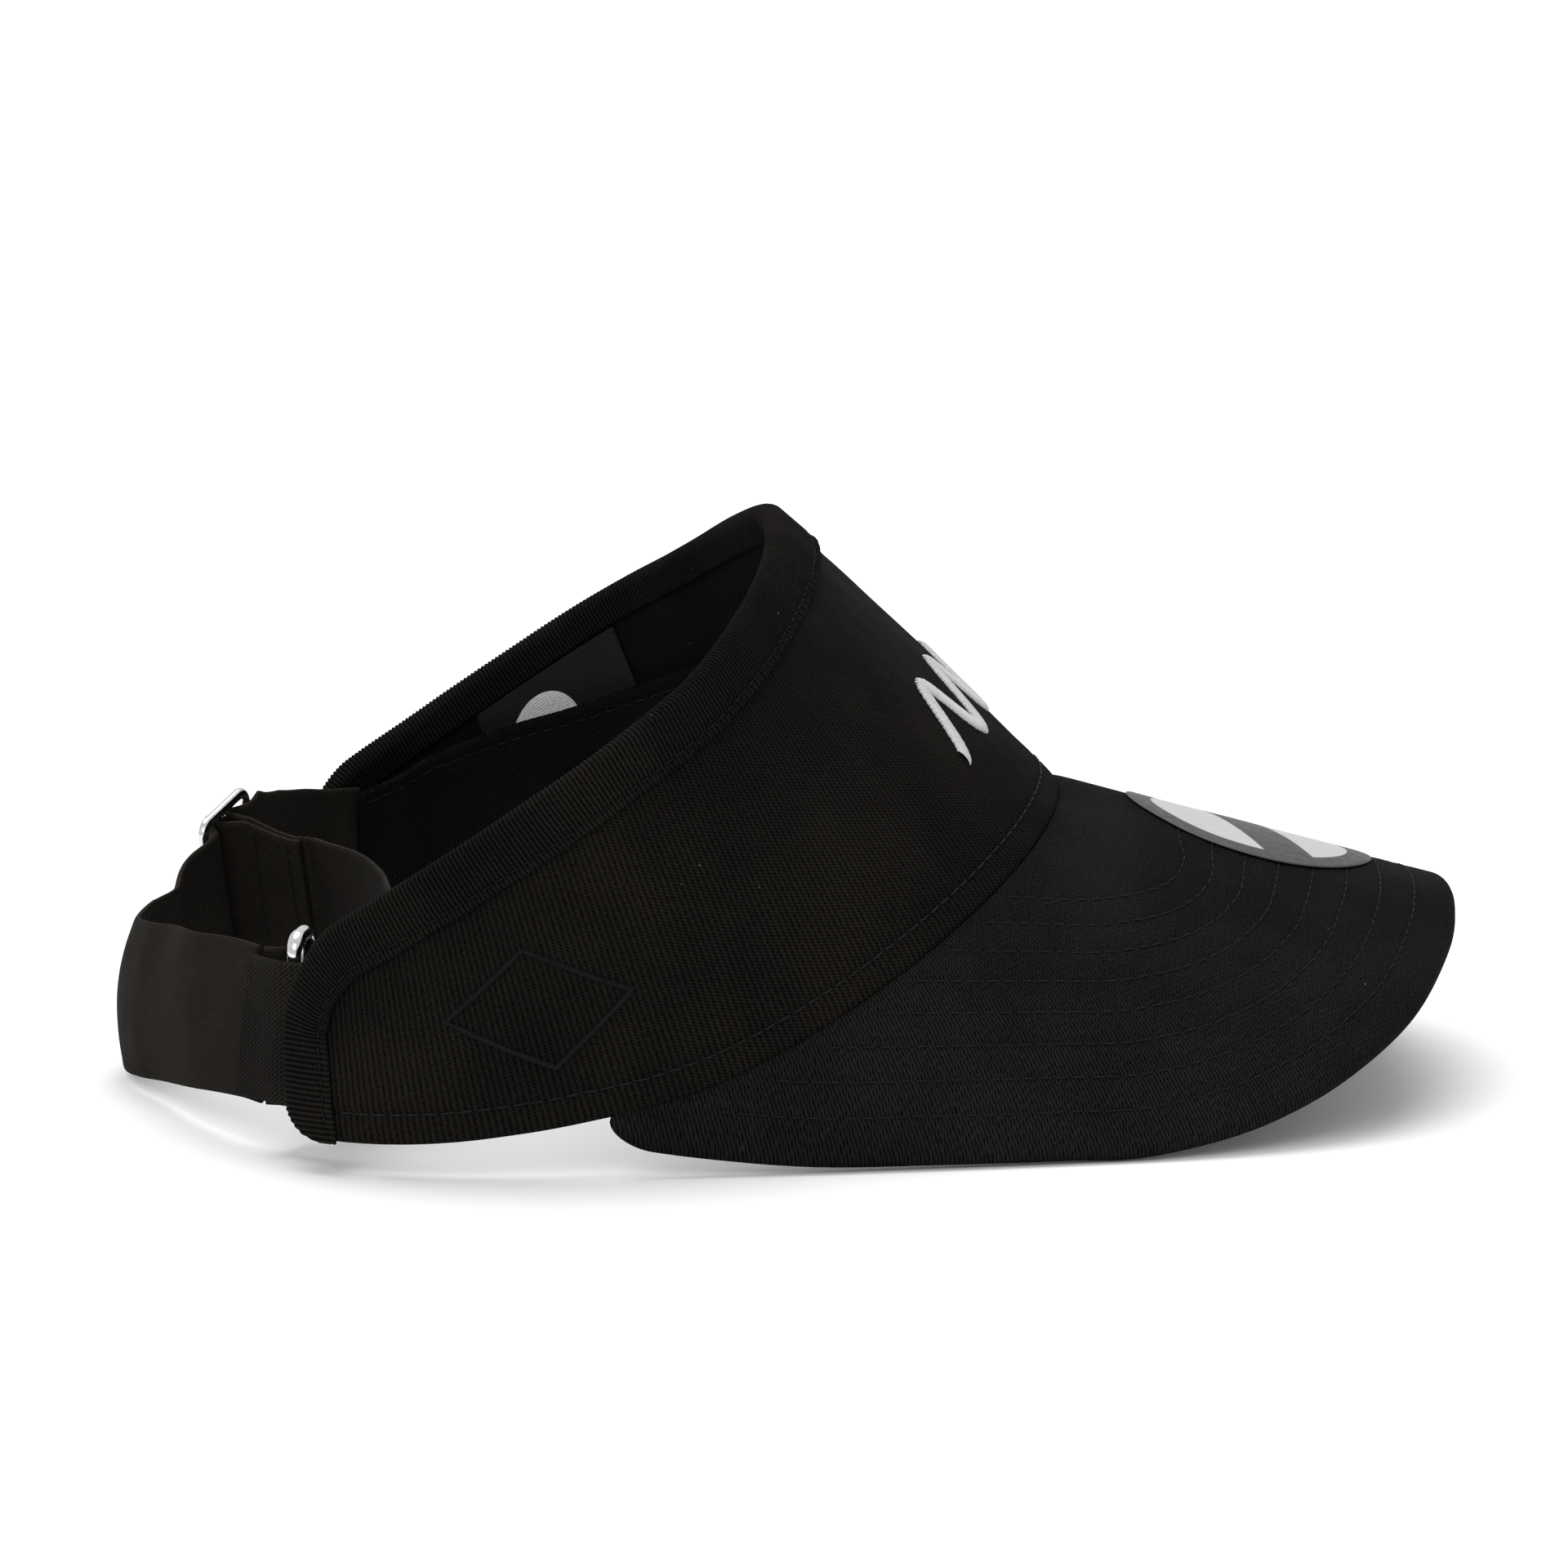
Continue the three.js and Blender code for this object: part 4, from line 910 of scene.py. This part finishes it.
def without_spares(points, faces, patterns):
    """The points that faces use, and the faces and patterns renumbered to them."""
    flat = np.concatenate([patterns.reshape(-1, 2)] * 2)
    kept = np.unique(np.concatenate([f.ravel() for f in faces]))
    number = np.zeros(len(points), int)
    number[kept] = np.arange(len(kept))
    return points[kept], [number[f] for f in faces], flat[kept]


# ---- crown -----------------------------------------------------------------------------------------


def crown_cloth(name, depth, thick, material, n=760, m=110):
    """One layer of the crown, with rounded rear corners, pulled in along its hem stitching."""
    u, v = cloth_grid(n, m)
    t = 2 * u - 1
    low, high = corner_drop(t, LOW_CORNER_R), crown_height(t) - corner_drop(t, TOP_CORNER_R)
    up = low + (high - low) * v
    hem_pull = 0.28 * np.exp(-(((up - HEM_ROW) / 0.8) ** 2)) + 0.35 * np.exp(-up / 0.7)
    pucker = 0.06 * np.sin(2 * math.pi * t * CROWN_HALF / STITCH) * np.exp(-(((up - HEM_ROW) / 2.2) ** 2))
    ease = smooth_step(high - up, 4, 9) * smooth_step(up, 3, 9)
    weave_lift = ease * 0.05 * drift(t * CROWN_HALF, up, 21, 9)
    outside = -depth - hem_pull + pucker + weave_lift
    patterns = np.stack([t * CROWN_HALF, up], -1)
    return slab(name, crown_at(t, up, outside), crown_at(t, up, outside - thick), material, patterns=patterns)


def edge_path(count=3600):
    """The bound edge, up the right rear end, round the rim and down the left one: t, up and the way in."""
    straight = 1 - TOP_CORNER_R / CROWN_HALF
    half_t = list(np.linspace(0, straight, 400))
    half_up = list(crown_height(np.array(half_t)))
    for turn in np.linspace(0, math.pi / 2, 40)[1:]:
        t = straight + TOP_CORNER_R / CROWN_HALF * math.sin(turn)
        half_t.append(t)
        half_up.append(float(crown_height(t)) - TOP_CORNER_R * (1 - math.cos(turn)))
    end = float(crown_height(1))
    for up in np.linspace(end - TOP_CORNER_R, -0.2, 60)[1:]:
        half_t.append(1.0)
        half_up.append(up)
    t = np.array([-a for a in half_t[:0:-1]] + half_t)
    up = np.array(half_up[:0:-1] + half_up)
    way = np.stack([np.gradient(t) * CROWN_HALF, np.gradient(up)], -1)
    walked = np.concatenate([[0], np.cumsum(np.hypot(np.diff(t) * CROWN_HALF, np.diff(up)))])
    s = np.linspace(0, walked[-1], count)
    t, up = np.interp(s, walked, t), np.interp(s, walked, up)
    way = unit(np.stack([np.gradient(t) * CROWN_HALF, np.gradient(up)], -1))
    kernel = np.ones(15) / 15
    way = unit(np.stack([np.convolve(np.pad(way[:, i], 7, "edge"), kernel, "valid") for i in range(2)], -1))
    return s, t, up, way[:, 1] / CROWN_HALF, -way[:, 0]


def tape_section():
    """The tape's section as inward and depth: down the outside, from its edge over the fold to the inside."""
    out_leg, in_leg = GAP + TAPE_T / 2, -(PANEL_T + LINING_T + 2 * GAP + TAPE_T / 2)
    outer = [(x, out_leg) for x in np.linspace(TAPE_OUTSIDE, 0.6, 24)]
    middle, half = (out_leg + in_leg) / 2, (out_leg - in_leg) / 2
    fold = [(0.4 - 1.3 * math.sin(a), middle + half * math.cos(a)) for a in np.linspace(0.12, math.pi - 0.12, 11)]
    inner = [(x, in_leg) for x in np.linspace(0.6, TAPE_INSIDE, 12)]
    return np.array(outer + fold + inner)


def make_tape():
    s, t, up, in_t, in_up = edge_path()
    section = tape_section()
    way = unit(np.gradient(section, axis=0))
    walked = np.concatenate([[0], np.cumsum(np.linalg.norm(np.diff(section, axis=0), axis=1))])
    inward, depth = section[:, 0][None], section[:, 1][None]
    row_at = TAPE_OUTSIDE - TAPE_ROW
    on_outside = (section[:, 1] > 0)[None] * 1.0
    rib = (0.5 + 0.5 * np.sin(2 * math.pi * s / RIB))[:, None] ** 0.7
    beyond = on_outside * smooth_step(inward, row_at - 0.2, row_at + 0.5)
    ribs = 0.26 * (rib - 0.6) * (1 - 0.6 * beyond)
    pulled = -0.34 * on_outside * np.exp(-(((inward - row_at) / 0.42) ** 2))
    lumps = beyond * 0.16 * np.sin(2 * math.pi * s / 2.6 + 1.3 * np.sin(s / 7.0))[:, None]
    ease = 0.14 * drift(s[:, None], inward * 2, 31, 40)
    half = TAPE_T / 2 * np.where(np.arange(len(section)) % (len(section) - 1) == 0, 0.45, 1.0)[None]
    sway = beyond * 0.25 * drift(s[:, None], inward * 0, 33, 11)
    over_hem = np.where(np.abs(t) > 0.99, np.maximum(0, LOW_CORNER_R - up), 0)
    corner = LOW_CORNER_R - np.sqrt(np.maximum(LOW_CORNER_R**2 - over_hem**2, 0))
    squeeze = (1 - np.minimum(corner, LOW_CORNER_R) / (TAPE_OUTSIDE + 0.9))[:, None]

    def face(side, extra):
        a = inward + way[:, 1][None] * side + sway
        d = depth - way[:, 0][None] * side
        a, d = a + way[:, 1][None] * extra, d - way[:, 0][None] * extra
        a = TAPE_OUTSIDE - (TAPE_OUTSIDE - a) * squeeze
        return crown_at(t[:, None] + in_t[:, None] * a, up[:, None] + in_up[:, None] * a, d)

    outside = face(half, ribs + pulled + lumps + ease * 0.5)
    inside = face(-half, pulled * 0.5 + ease * 0.5)
    patterns = np.stack(np.broadcast_arrays(s[:, None], walked[None]), -1)
    piece = slab("binding_tape", outside, inside, TAPE, patterns=patterns)
    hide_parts("top_binding")
    middle = crown_at(t + in_t * row_at, up + in_up * row_at, np.full_like(s, GAP + TAPE_T - 0.36))
    out = unit(crown_at(t + in_t * row_at, up + in_up * row_at, np.full_like(s, 3.0)) - middle)
    row = stitch_row("binding_stitches", middle[30:-30], out[30:-30], TAPE_THREAD, pitch=2.6, gap=0.5, seed=61,
                     radius=0.19, rise=0.4)
    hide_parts("binding_stitching")


def along_crown(first, last, up, depth, count=900):
    t = np.linspace(first, last, count)
    up = np.full(count, up) if np.isscalar(up) else up(t)
    line = crown_at(t, up, np.full(count, depth))
    return line, unit(crown_at(t, up, np.full(count, depth + 2.0)) - line)


def make_crown():
    panel = crown_cloth("crown_panel_cloth", 0.0, PANEL_T, PANEL)
    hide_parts("crown_panel")
    lining = crown_cloth("crown_lining", PANEL_T + GAP, LINING_T, LINING, 520, 70)
    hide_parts("crown_backing")
    reach = 1 - (TAPE_OUTSIDE + 0.5) / CROWN_HALF
    line, out = along_crown(-reach, reach, HEM_ROW, -0.14)
    hem = stitch_row("hem_stitches", line, out, HEM_THREAD, seed=71, radius=0.17, rise=0.3)
    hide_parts("hem_stitching")
    heights = crown_height(np.linspace(-1, 1, 900))


def sweatband_top(t):
    side = np.sin(np.minimum(1, (1 - np.abs(t)) / 0.4) * (math.pi / 2))
    return SWEATBAND_END_H + (SWEATBAND_SIDE_H - SWEATBAND_END_H) * side


def sweatband_point(t, v, depth):
    """A point of the sweatband, which is sewn at the seam and stands free above, a little wavy."""
    up = SWEATBAND_RAISE + (sweatband_top(t) - SWEATBAND_RAISE) * v
    over_strap = smooth_step(t, 1 - 30 / CROWN_HALF, 1 - 17 / CROWN_HALF)
    step = over_strap * (5.0 - 2.0 * v)
    gape = v**2 * (0.7 + 0.7 * drift(t * CROWN_HALF, v * 9, 41, 46)) * (1 - over_strap)
    return crown_at(t, up, -SWEATBAND_OFFSET - 0.8 * v - step - gape - depth)


def make_sweatband():
    u, v = cloth_grid(560, 60)
    first, last = -1 + SWEATBAND_SHORT_RIGHT / CROWN_HALF, 1 - SWEATBAND_SHORT_LEFT / CROWN_HALF
    t = first + (last - first) * u
    roll = SWEATBAND_T / 2 * (1 - np.sqrt(np.clip(1 - np.maximum(0, 1 - (1 - v) * 38 / 0.8) ** 2, 0, 1)))
    seam_dent = 0.3 * np.exp(-(((v - 0.93) / 0.02) ** 2))
    head_side = sweatband_point(t, v, SWEATBAND_T - roll - seam_dent)
    crown_side = sweatband_point(t, v, roll)
    patterns = np.stack([t * CROWN_HALF, v * 38], -1)
    piece = slab("sweatband_cloth", head_side, crown_side, TOWEL, patterns=patterns)
    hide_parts("sweatband")
    t = np.linspace(first + 0.01, last - 0.01, 900)
    line = sweatband_point(t, np.full_like(t, 0.93), np.full_like(t, SWEATBAND_T - 0.22))
    out = unit(sweatband_point(t, np.full_like(t, 0.93), np.full_like(t, SWEATBAND_T + 2)) - line)
    row = stitch_row("sweatband_stitches", line, out, BLACK_THREAD, seed=72, radius=0.18, rise=0.3)
    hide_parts("sweatband_stitching")


def make_label():
    u, v = cloth_grid(80, 64)
    t = 0.578 + 0.19 * u
    high = crown_height(t) - TAPE_INSIDE - 0.6
    up = high - 24 + 24 * v
    lie = -(PANEL_T + LINING_T + 2 * GAP) - 0.35 * (1 - v) - 0.15 * drift(u * 38, v * 24, 51, 30)
    patterns = np.stack([(u - 0.62) * 0.19 * CROWN_HALF, v * 24 - 13.2], -1)
    piece = slab("neck_label", crown_at(t, up, lie - 0.4), crown_at(t, up, lie), LABEL, patterns=patterns)
    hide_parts("woven_label")


def make_embroidery():
    u = np.linspace(0, 1, 1600)
    turn = u * WAVE["waves"] * 2 * math.pi
    t = (u - 0.5) * WAVE["width"] / CROWN_HALF
    up = WAVE["low"] - 0.5 * WAVE["height"] * np.cos(turn)
    line = crown_at(t, up, np.full_like(u, 0.08))
    out = unit(crown_at(t, up, np.full_like(u, 2.0)) - line)
    piece = satin_row("front_wave_embroidery", line, out, WAVE["stroke"], WHITE_THREAD, pitch=0.34, radius=0.22)
    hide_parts("front_embroidery")
    inner = 1 - 0.5 * DIAMOND["stroke"] / DIAMOND["half_h"]
    corners = [(-1, 0), (0, 1), (1, 0), (0, -1), (-1, 0)]
    k = np.linspace(0, 4, 900)
    a = np.interp(k, range(5), [c[0] for c in corners]) * DIAMOND["half_w"] * inner
    b = np.interp(k, range(5), [c[1] for c in corners]) * DIAMOND["half_h"] * inner
    line = crown_at((a - DIAMOND["along"]) / CROWN_HALF, DIAMOND["up"] + b, np.full_like(a, 0.02))
    out = unit(crown_at((a - DIAMOND["along"]) / CROWN_HALF, DIAMOND["up"] + b, np.full_like(a, 2.0)) - line)
    piece = satin_row("side_diamond_embroidery", line, out, DIAMOND["stroke"], TONAL_THREAD, pitch=0.4, rise=0.42,
                      slant=0.4, seed=6)
    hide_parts("side_embroidery")


# ---- strap -----------------------------------------------------------------------------------------

slide_flat = unit(point(STRAP_HALF[4][0] - STRAP_HALF[3][0], STRAP_HALF[4][1] - STRAP_HALF[3][1]))
tilt = math.radians(SLIDER["tilt"])
slide_way = slide_flat * math.cos(tilt) + point(0, 0, math.sin(tilt))
bar_way = slide_flat * -math.sin(tilt) + point(0, 0, math.cos(tilt))
slide_out = point(-slide_flat[1], slide_flat[0])
slider_z = float(strap_z(SLIDER["y"])) + SLIDER["raise"]
ring_strap_z = float(strap_z(-60))
UNDER_BAR = -(SLIDER["t"] / 2 + GAP + STRAP_T / 2)
OVER_REACH = SLIDER["half_l"] - SLIDER["bar"]
ring_way = point(math.cos(math.radians(RING["turn"])), math.sin(math.radians(RING["turn"])))
ring_front = point(ring_way[1], -ring_way[0])


def by_slider(along, out=0.0):
    """A place beside the slider: along the strap towards the crown, and out of the visor."""
    return point(SLIDER["x"], SLIDER["y"], slider_z) + slide_way * along + slide_out * out


def by_tail(along, side):
    """A place beside the folded end: in from the slider, and towards the crown."""
    return by_slider(side, -along) - point(0, 0, LOOP_DROP * float(smooth_step(along, 2, 13)))


def upright(at):
    return np.broadcast_to(point(0, 0, 1), at.shape)


def bar_width(near, far):
    """The strap's width follows the slider's bars beside it, and stands upright again by a distance away."""
    def width(at):
        share = smooth_step(np.linalg.norm(at - by_slider(0), axis=-1), near, far)[..., None]
        return bar_way * (1 - share) + point(0, 0, 1) * share
    return width


def by_tab(along, inward, z=0.0):
    """A place beside the tab: rearwards along it, and in towards the middle of the visor."""
    return point(TAB_FRONT[0] + TAB_DIR[0] * along + TAB_DIR[1] * inward,
                 TAB_FRONT[1] + TAB_DIR[1] * along - TAB_DIR[0] * inward, z)


near_bar = by_tab(RING_ALONG, RING_IN, RING["z"])
far_bar = near_bar + ring_way * RING["width"]


def round_bar(turn):
    """A place on the strap's middle where it goes round the ring's far bar."""
    a, reach = math.radians(turn), RING["r"] + GAP + STRAP_T / 2 + 0.1
    spot = far_bar + ring_way * reach * math.cos(a) + ring_front * reach * math.sin(a)
    return point(spot[0], spot[1], ring_strap_z)


LEAST_SLANT = 0.97  # a cut across the strap is longer on a slope, but no longer than this gives


def webbing(name, line, first, last, material, body, height=STRAP_H, thick=STRAP_T, start_mm=0.0, seed=0, ripple=0.12,
            step=0.7, rows=34, width=upright):
    """A stretch of a flat strap on edge, between two shares of its middle line, with rounded edges."""
    n = max(8, int((last - first) * line.length / step))
    u, v = cloth_grid(n, rows)
    v = 0.5 - 0.5 * np.cos(math.pi * np.clip(v, 0, 1)) * (0.85 + 0.15 * np.abs(2 * v - 1))
    u = first + (last - first) * u
    at, way = line.at(u), line.heading(u)
    up = unit(width(at))
    side = np.cross(way, up)
    up = up / np.maximum(np.linalg.norm(side, axis=-1, keepdims=True), LEAST_SLANT)
    side = unit(side)
    length = u * line.length + start_mm
    from_edge = np.minimum(v, 1 - v) * height
    half = thick / 2 * (0.35 + 0.65 * np.sqrt(np.clip(1 - (1 - from_edge / 0.55) ** 2, 0, 1) * (from_edge < 0.55)
                                              + (from_edge >= 0.55)))
    selvedge = 0.07 * np.exp(-(((from_edge - 1.0) / 0.5) ** 2))
    wave = ripple * drift(length, (v - 0.5) * height * 0.6, 80 + seed, 31)
    rise = (v - 0.5) * height + 0.12 * drift(length, v * 0, 90 + seed, 47)
    lean = 3.4 * np.maximum(0, (v - 0.42) / 0.58) ** 2 + 1.2 * np.maximum(0, (0.42 - v) / 0.42) ** 2
    inward = unit((point(SEAM["x"], 0) - at) * point(1, 1, 0))
    leaning = inward * (lean * smooth_step(14 - at[..., 0], 0, 9))[..., None]
    centre = at + side * wave[..., None] + rise[..., None] * up + leaning
    patterns = np.stack([length, v * height], -1)
    return slab(name, centre + side * (half + selvedge)[..., None], centre - side * (half + selvedge)[..., None],
                material, body, patterns)


def share_at(line, spot):
    """The share of a line's length where it passes nearest a spot."""
    near = np.linalg.norm(line.points - spot, axis=-1).argmin()
    return float(line.walked[near] / line.length)


def strap_lines():
    back = [by_slider(-SLIDER["half_l"] - 9), by_slider(-SLIDER["half_l"] - 11.5)]
    back += [point(x, y, strap_z(y)) for x, y in STRAP_TO_SLIDER]
    back += [point(x, -y, strap_z(-y)) for x, y in STRAP_HALF]
    back.append(point(*STRAP_NEAR_END, strap_z(STRAP_NEAR_END[1])))
    far = [by_slider(a, UNDER_BAR * (17.6 + a) / 6.6) for a in (-17.6, -14, -11)]
    for i in range(13):
        a = -9 + 1.5 * i
        lift = 0.5 + 0.5 * math.cos(math.pi * a / OVER_REACH) if abs(a) < OVER_REACH else 0
        far.append(by_slider(a, UNDER_BAR + (STRAP_OVER_BAR - UNDER_BAR) * lift))
    far += [by_slider(10.5, UNDER_BAR), point(25.2, 58, STRAP_FAR_Z + 2.2), point(28.9, 64.3, STRAP_FAR_Z + 1.2)]
    far += [point(33, 69, STRAP_FAR_Z + 0.3), point(39, 72.5, STRAP_FAR_Z)]
    slack_z = slider_z - LOOP_DROP
    turn_back = [point(24.8, -59.2, ring_strap_z), point(27.6, -59.6, ring_strap_z)]
    turn_back += [round_bar(a) for a in (180, 135, 90, 45)] + [point(37.6, -47, ring_strap_z)]
    turn_back += [point(*p, slack_z) for p in ((42.6, -33), (45, -17), (42.6, 6), (38, 23))]
    turn_back += [by_tail(18, 0), by_tail(15.5, 0)]
    return Line(back, limp=True), Line(far, limp=True), Line(turn_back, limp=True)


def make_strap():
    back, far, turned = strap_lines()
    blend_from = 20.0  # how much of the back stretch, in millimetres, goes into the slider's lead-in piece
    split = blend_from / back.length
    rear = webbing("strap_back_web", back, split, 1, SATIN, "visor", start_mm=0, seed=1, width=bar_width(20, 34))
    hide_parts("strap_back")
    whole = Line(np.vstack([back.at(np.linspace(split, 0, 12)), far.at(np.linspace(0, 1, 60))[1:]]), limp=True)
    middle = share_at(whole, by_slider(0, STRAP_OVER_BAR))
    lead_in = webbing("strap_slider_web_rear", whole, 0, middle, SATIN, None, seed=1, start_mm=-60, ripple=0.05,
                      width=bar_width(20, 34))
    lead_out = webbing("strap_slider_web_front", whole, middle, 1, SATIN, None, seed=1, start_mm=-60, ripple=0.05,
                       width=bar_width(11, 20))
    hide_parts("strap_far")
    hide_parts("strap_far")
    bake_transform(lead_in)
    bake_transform(lead_out)
    wrap, calm = share_at(turned, round_bar(100)), share_at(turned, point(45, -17, slider_z - LOOP_DROP))
    into = webbing("strap_ring_web", turned, 0, wrap, SATIN, None, seed=2, ripple=0.0, step=0.4)
    slack = webbing("strap_slack_web_ring", turned, wrap, calm, SATIN, None, seed=2, ripple=0.35, step=0.5)
    rest = webbing("strap_slack_web_slider", turned, calm, 1, SATIN, None, seed=2, ripple=0.35, width=bar_width(17, 34))
    for piece in (into, slack, rest):
        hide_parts("strap_return")
    in_frame(turned.at(0.0))
    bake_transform(into)
    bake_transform(slack)
    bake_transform(rest)
    make_end_fold()


def make_end_fold():
    """The strap's end, folded round the slider's middle bar and sewn to itself."""
    path = [by_tail(15, 0.65), by_tail(13, 0.65), by_tail(9, 0.65), by_tail(4.2, 0.9)]
    for i in range(9):
        a = math.radians(60 + 30 * i)
        path.append(by_tail(LOOP_R * math.cos(a), LOOP_R * math.sin(a)))
    path += [by_tail(4.2, -0.9), by_tail(9, -0.65), by_tail(13, -0.65), by_tail(15, -0.65)]
    line = Line(path, limp=True)
    fold = webbing("strap_end_fold", line, 0, 1, SATIN, "slider_body", seed=3, ripple=0.04, step=0.45,
                   width=lambda at: np.broadcast_to(bar_way, at.shape))
    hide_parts("strap_end_loop")
    for side, name in ((1, "outer"), (-1, "inner")):
        for at in (6.2, 12.6):
            up = np.linspace(-STRAP_H / 2 + 0.8, STRAP_H / 2 - 0.8, 120)
            spots = by_tail(at, side * 1.12)[None] + up[:, None] * bar_way
            bar = stitch_row(f"strap_end_stitches_{name}_{round(at)}", spots, np.tile(slide_way * side, (120, 1)),
                             BLACK_THREAD, "slider_body", pitch=2.2, gap=0.3, seed=90 + round(at), radius=0.22,
                             rise=0.3)


# ---- slider, ring, holder and tab ------------------------------------------------------------------


def round_corner_loop(half_w, half_h, r, per_corner=14, per_side=10):
    """A closed loop of points round a rectangle with round corners."""
    corners = ((1, 1, 0), (-1, 1, 90), (-1, -1, 180), (1, -1, 270))
    arcs = []
    for sx, sy, start in corners:
        a = np.radians(np.linspace(start, start + 90, per_corner + 1))
        arcs.append(np.stack([sx * (half_w - r) + r * np.cos(a), sy * (half_h - r) + r * np.sin(a)], -1))
    loop = []
    for here, ahead in zip(arcs, arcs[1:] + arcs[:1]):
        loop.append(here)
        k = np.linspace(0, 1, per_side + 2)[1:-1, None]
        loop.append(here[-1] + (ahead[0] - here[-1]) * k)
    return np.concatenate(loop)


def swept_loop(loop, half_wide, half_thick, power=2.0, sides=28):
    """A rod bent round a flat loop: points (count, sides, 3) in the loop's own plane, and its faces."""
    ahead, back = np.roll(loop, -1, axis=0), np.roll(loop, 1, axis=0)
    way = unit(ahead - back)
    out = np.stack([way[:, 1], -way[:, 0]], -1)
    turn = np.arange(sides) * 2 * math.pi / sides
    wide = np.sign(np.cos(turn)) * np.abs(np.cos(turn)) ** (2 / power) * half_wide
    thick = np.sign(np.sin(turn)) * np.abs(np.sin(turn)) ** (2 / power) * half_thick
    flat = loop[:, None] + out[:, None] * wide[None, :, None]
    points = np.concatenate([flat, np.broadcast_to(thick, flat.shape[:2])[..., None]], -1)
    number = np.arange(len(loop) * sides).reshape(len(loop), sides)
    side, next_ring = np.roll(number, -1, axis=1), np.roll(number, -1, axis=0)
    both = np.roll(side, -1, axis=0)
    return points, np.stack([number, side, both, next_ring], -1).reshape(-1, 4)


def in_plane(points, centre, way, up):
    """Sends points of a flat loop (along, up, through) to a plate that stands on edge."""
    return centre + points[..., 0:1] * way + points[..., 1:2] * up + points[..., 2:3] * np.cross(way, up)


def make_slider():
    half_bar = SLIDER["bar"] / 2
    loop = round_corner_loop(SLIDER["half_l"] - half_bar, SLIDER["half_h"] - half_bar, SLIDER["corner"] - 0.4)
    outer, faces = swept_loop(loop, half_bar, SLIDER["t"] / 2, 2.5)
    reach = SLIDER["half_h"] - half_bar
    up, turn = cloth_grid(24, 29)
    up, turn = (2 * up - 1) * reach, turn * 2 * math.pi
    flare = 1 + 0.5 * np.exp(-(reach - np.abs(up)) / 0.8)
    wide, thick = np.cos(turn) * half_bar * flare, np.sin(turn) * SLIDER["t"] / 2 * 0.96
    bar = np.stack([wide, up, thick], -1)[:, :-1]
    number = np.arange(24 * 28).reshape(24, 28) + outer.reshape(-1, 3).shape[0]
    side = np.roll(number, -1, axis=1)
    walls = np.stack([number[:-1], side[:-1], side[1:], number[1:]], -1).reshape(-1, 4)
    caps = [number[:1, ::-1], number[-1:]]
    points = np.concatenate([outer.reshape(-1, 3), bar.reshape(-1, 3)])
    points = in_plane(points, by_slider(0), slide_way, bar_way)
    rod = turned_out(points, [walls, *caps])
    piece = make_piece("slider_frame", points, [*turned_out(points, [faces]), *rod], CHROME, "slider_body")
    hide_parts("slider")


def make_ring():
    loop = round_corner_loop(RING["width"] / 2, RING["half_h"], RING["corner"], 12, 8)
    points, faces = swept_loop(loop, RING["r"], RING["r"])
    points = in_plane(points.reshape(-1, 3), (near_bar + far_bar) / 2, ring_way, point(0, 0, 1))
    piece = make_piece("ring_wire", points, turned_out(points, [faces]), CHROME, "ring_body")
    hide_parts("ring")


def make_holder():
    """The strip folded round the ring's near bar, its two ends sewn inside the crown's right end."""
    thick = 0.9
    reach = RING["r"] + GAP + thick / 2 + 0.05
    path = [by_tab(a, 1.4, RING["z"]) for a in (3.5, 9, 14)]
    for i in range(7):
        a = math.radians(-90 + 30 * i)
        path.append(by_tab(RING_ALONG + reach * math.cos(a), RING_IN + reach * math.sin(a), RING["z"]))
    path += [by_tab(13.5, 5, RING["z"]), by_tab(9, 3.2, RING["z"]), by_tab(3.5, 2.7, RING["z"])]
    piece = webbing("ring_holder", Line(path, limp=True), 0, 1, TAB_CLOTH, "visor", height=TAB_H - 2, thick=thick,
                    seed=4, ripple=0.03, step=0.4)
    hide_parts("ring_loop")


def make_tab():
    """The cover tab over the ring, with turned edges and a slanted free end."""
    line = Line([by_tab(2.5, 0), by_tab(9, 0), by_tab(16.5, 0), point(26.2, -64.6), point(23, -60), point(19.8, -55.6)],
                limp=True)
    u, v = cloth_grid(110, 60)
    u = u * (1 - TAB_SLANT * v)
    at, way = line.at(u), line.heading(u)
    side = unit(np.stack([way[..., 1], -way[..., 0], np.zeros_like(u)], -1))
    length, height = u * line.length, v * TAB_H
    to_free = (1 - TAB_SLANT * v - u) * line.length
    edge = np.minimum(np.minimum(height, TAB_H - height), to_free)
    half = TAB_T / 2 * (0.4 + 0.6 * np.sqrt(np.clip(1 - np.maximum(0, 1 - edge / 0.7) ** 2, 0, 1)))
    fold = 0.12 * np.exp(-(((edge - 1.2) / 0.8) ** 2))
    uneven = 0.1 * drift(length, height, 101, 23)
    centre = at + side * uneven[..., None] + (TAB_Z + height)[..., None] * point(0, 0, 1)
    patterns = np.stack([length, height], -1)
    piece = slab("cover_tab", centre + side * (half + fold)[..., None], centre - side * (half + fold)[..., None],
                 TAB_CLOTH, patterns=patterns)
    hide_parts("strap_cover_tab")


make_brim()
make_sticker()
make_crown()
make_tape()
make_sweatband()
make_label()
make_embroidery()
make_strap()
make_slider()
make_ring()
make_holder()
make_tab()
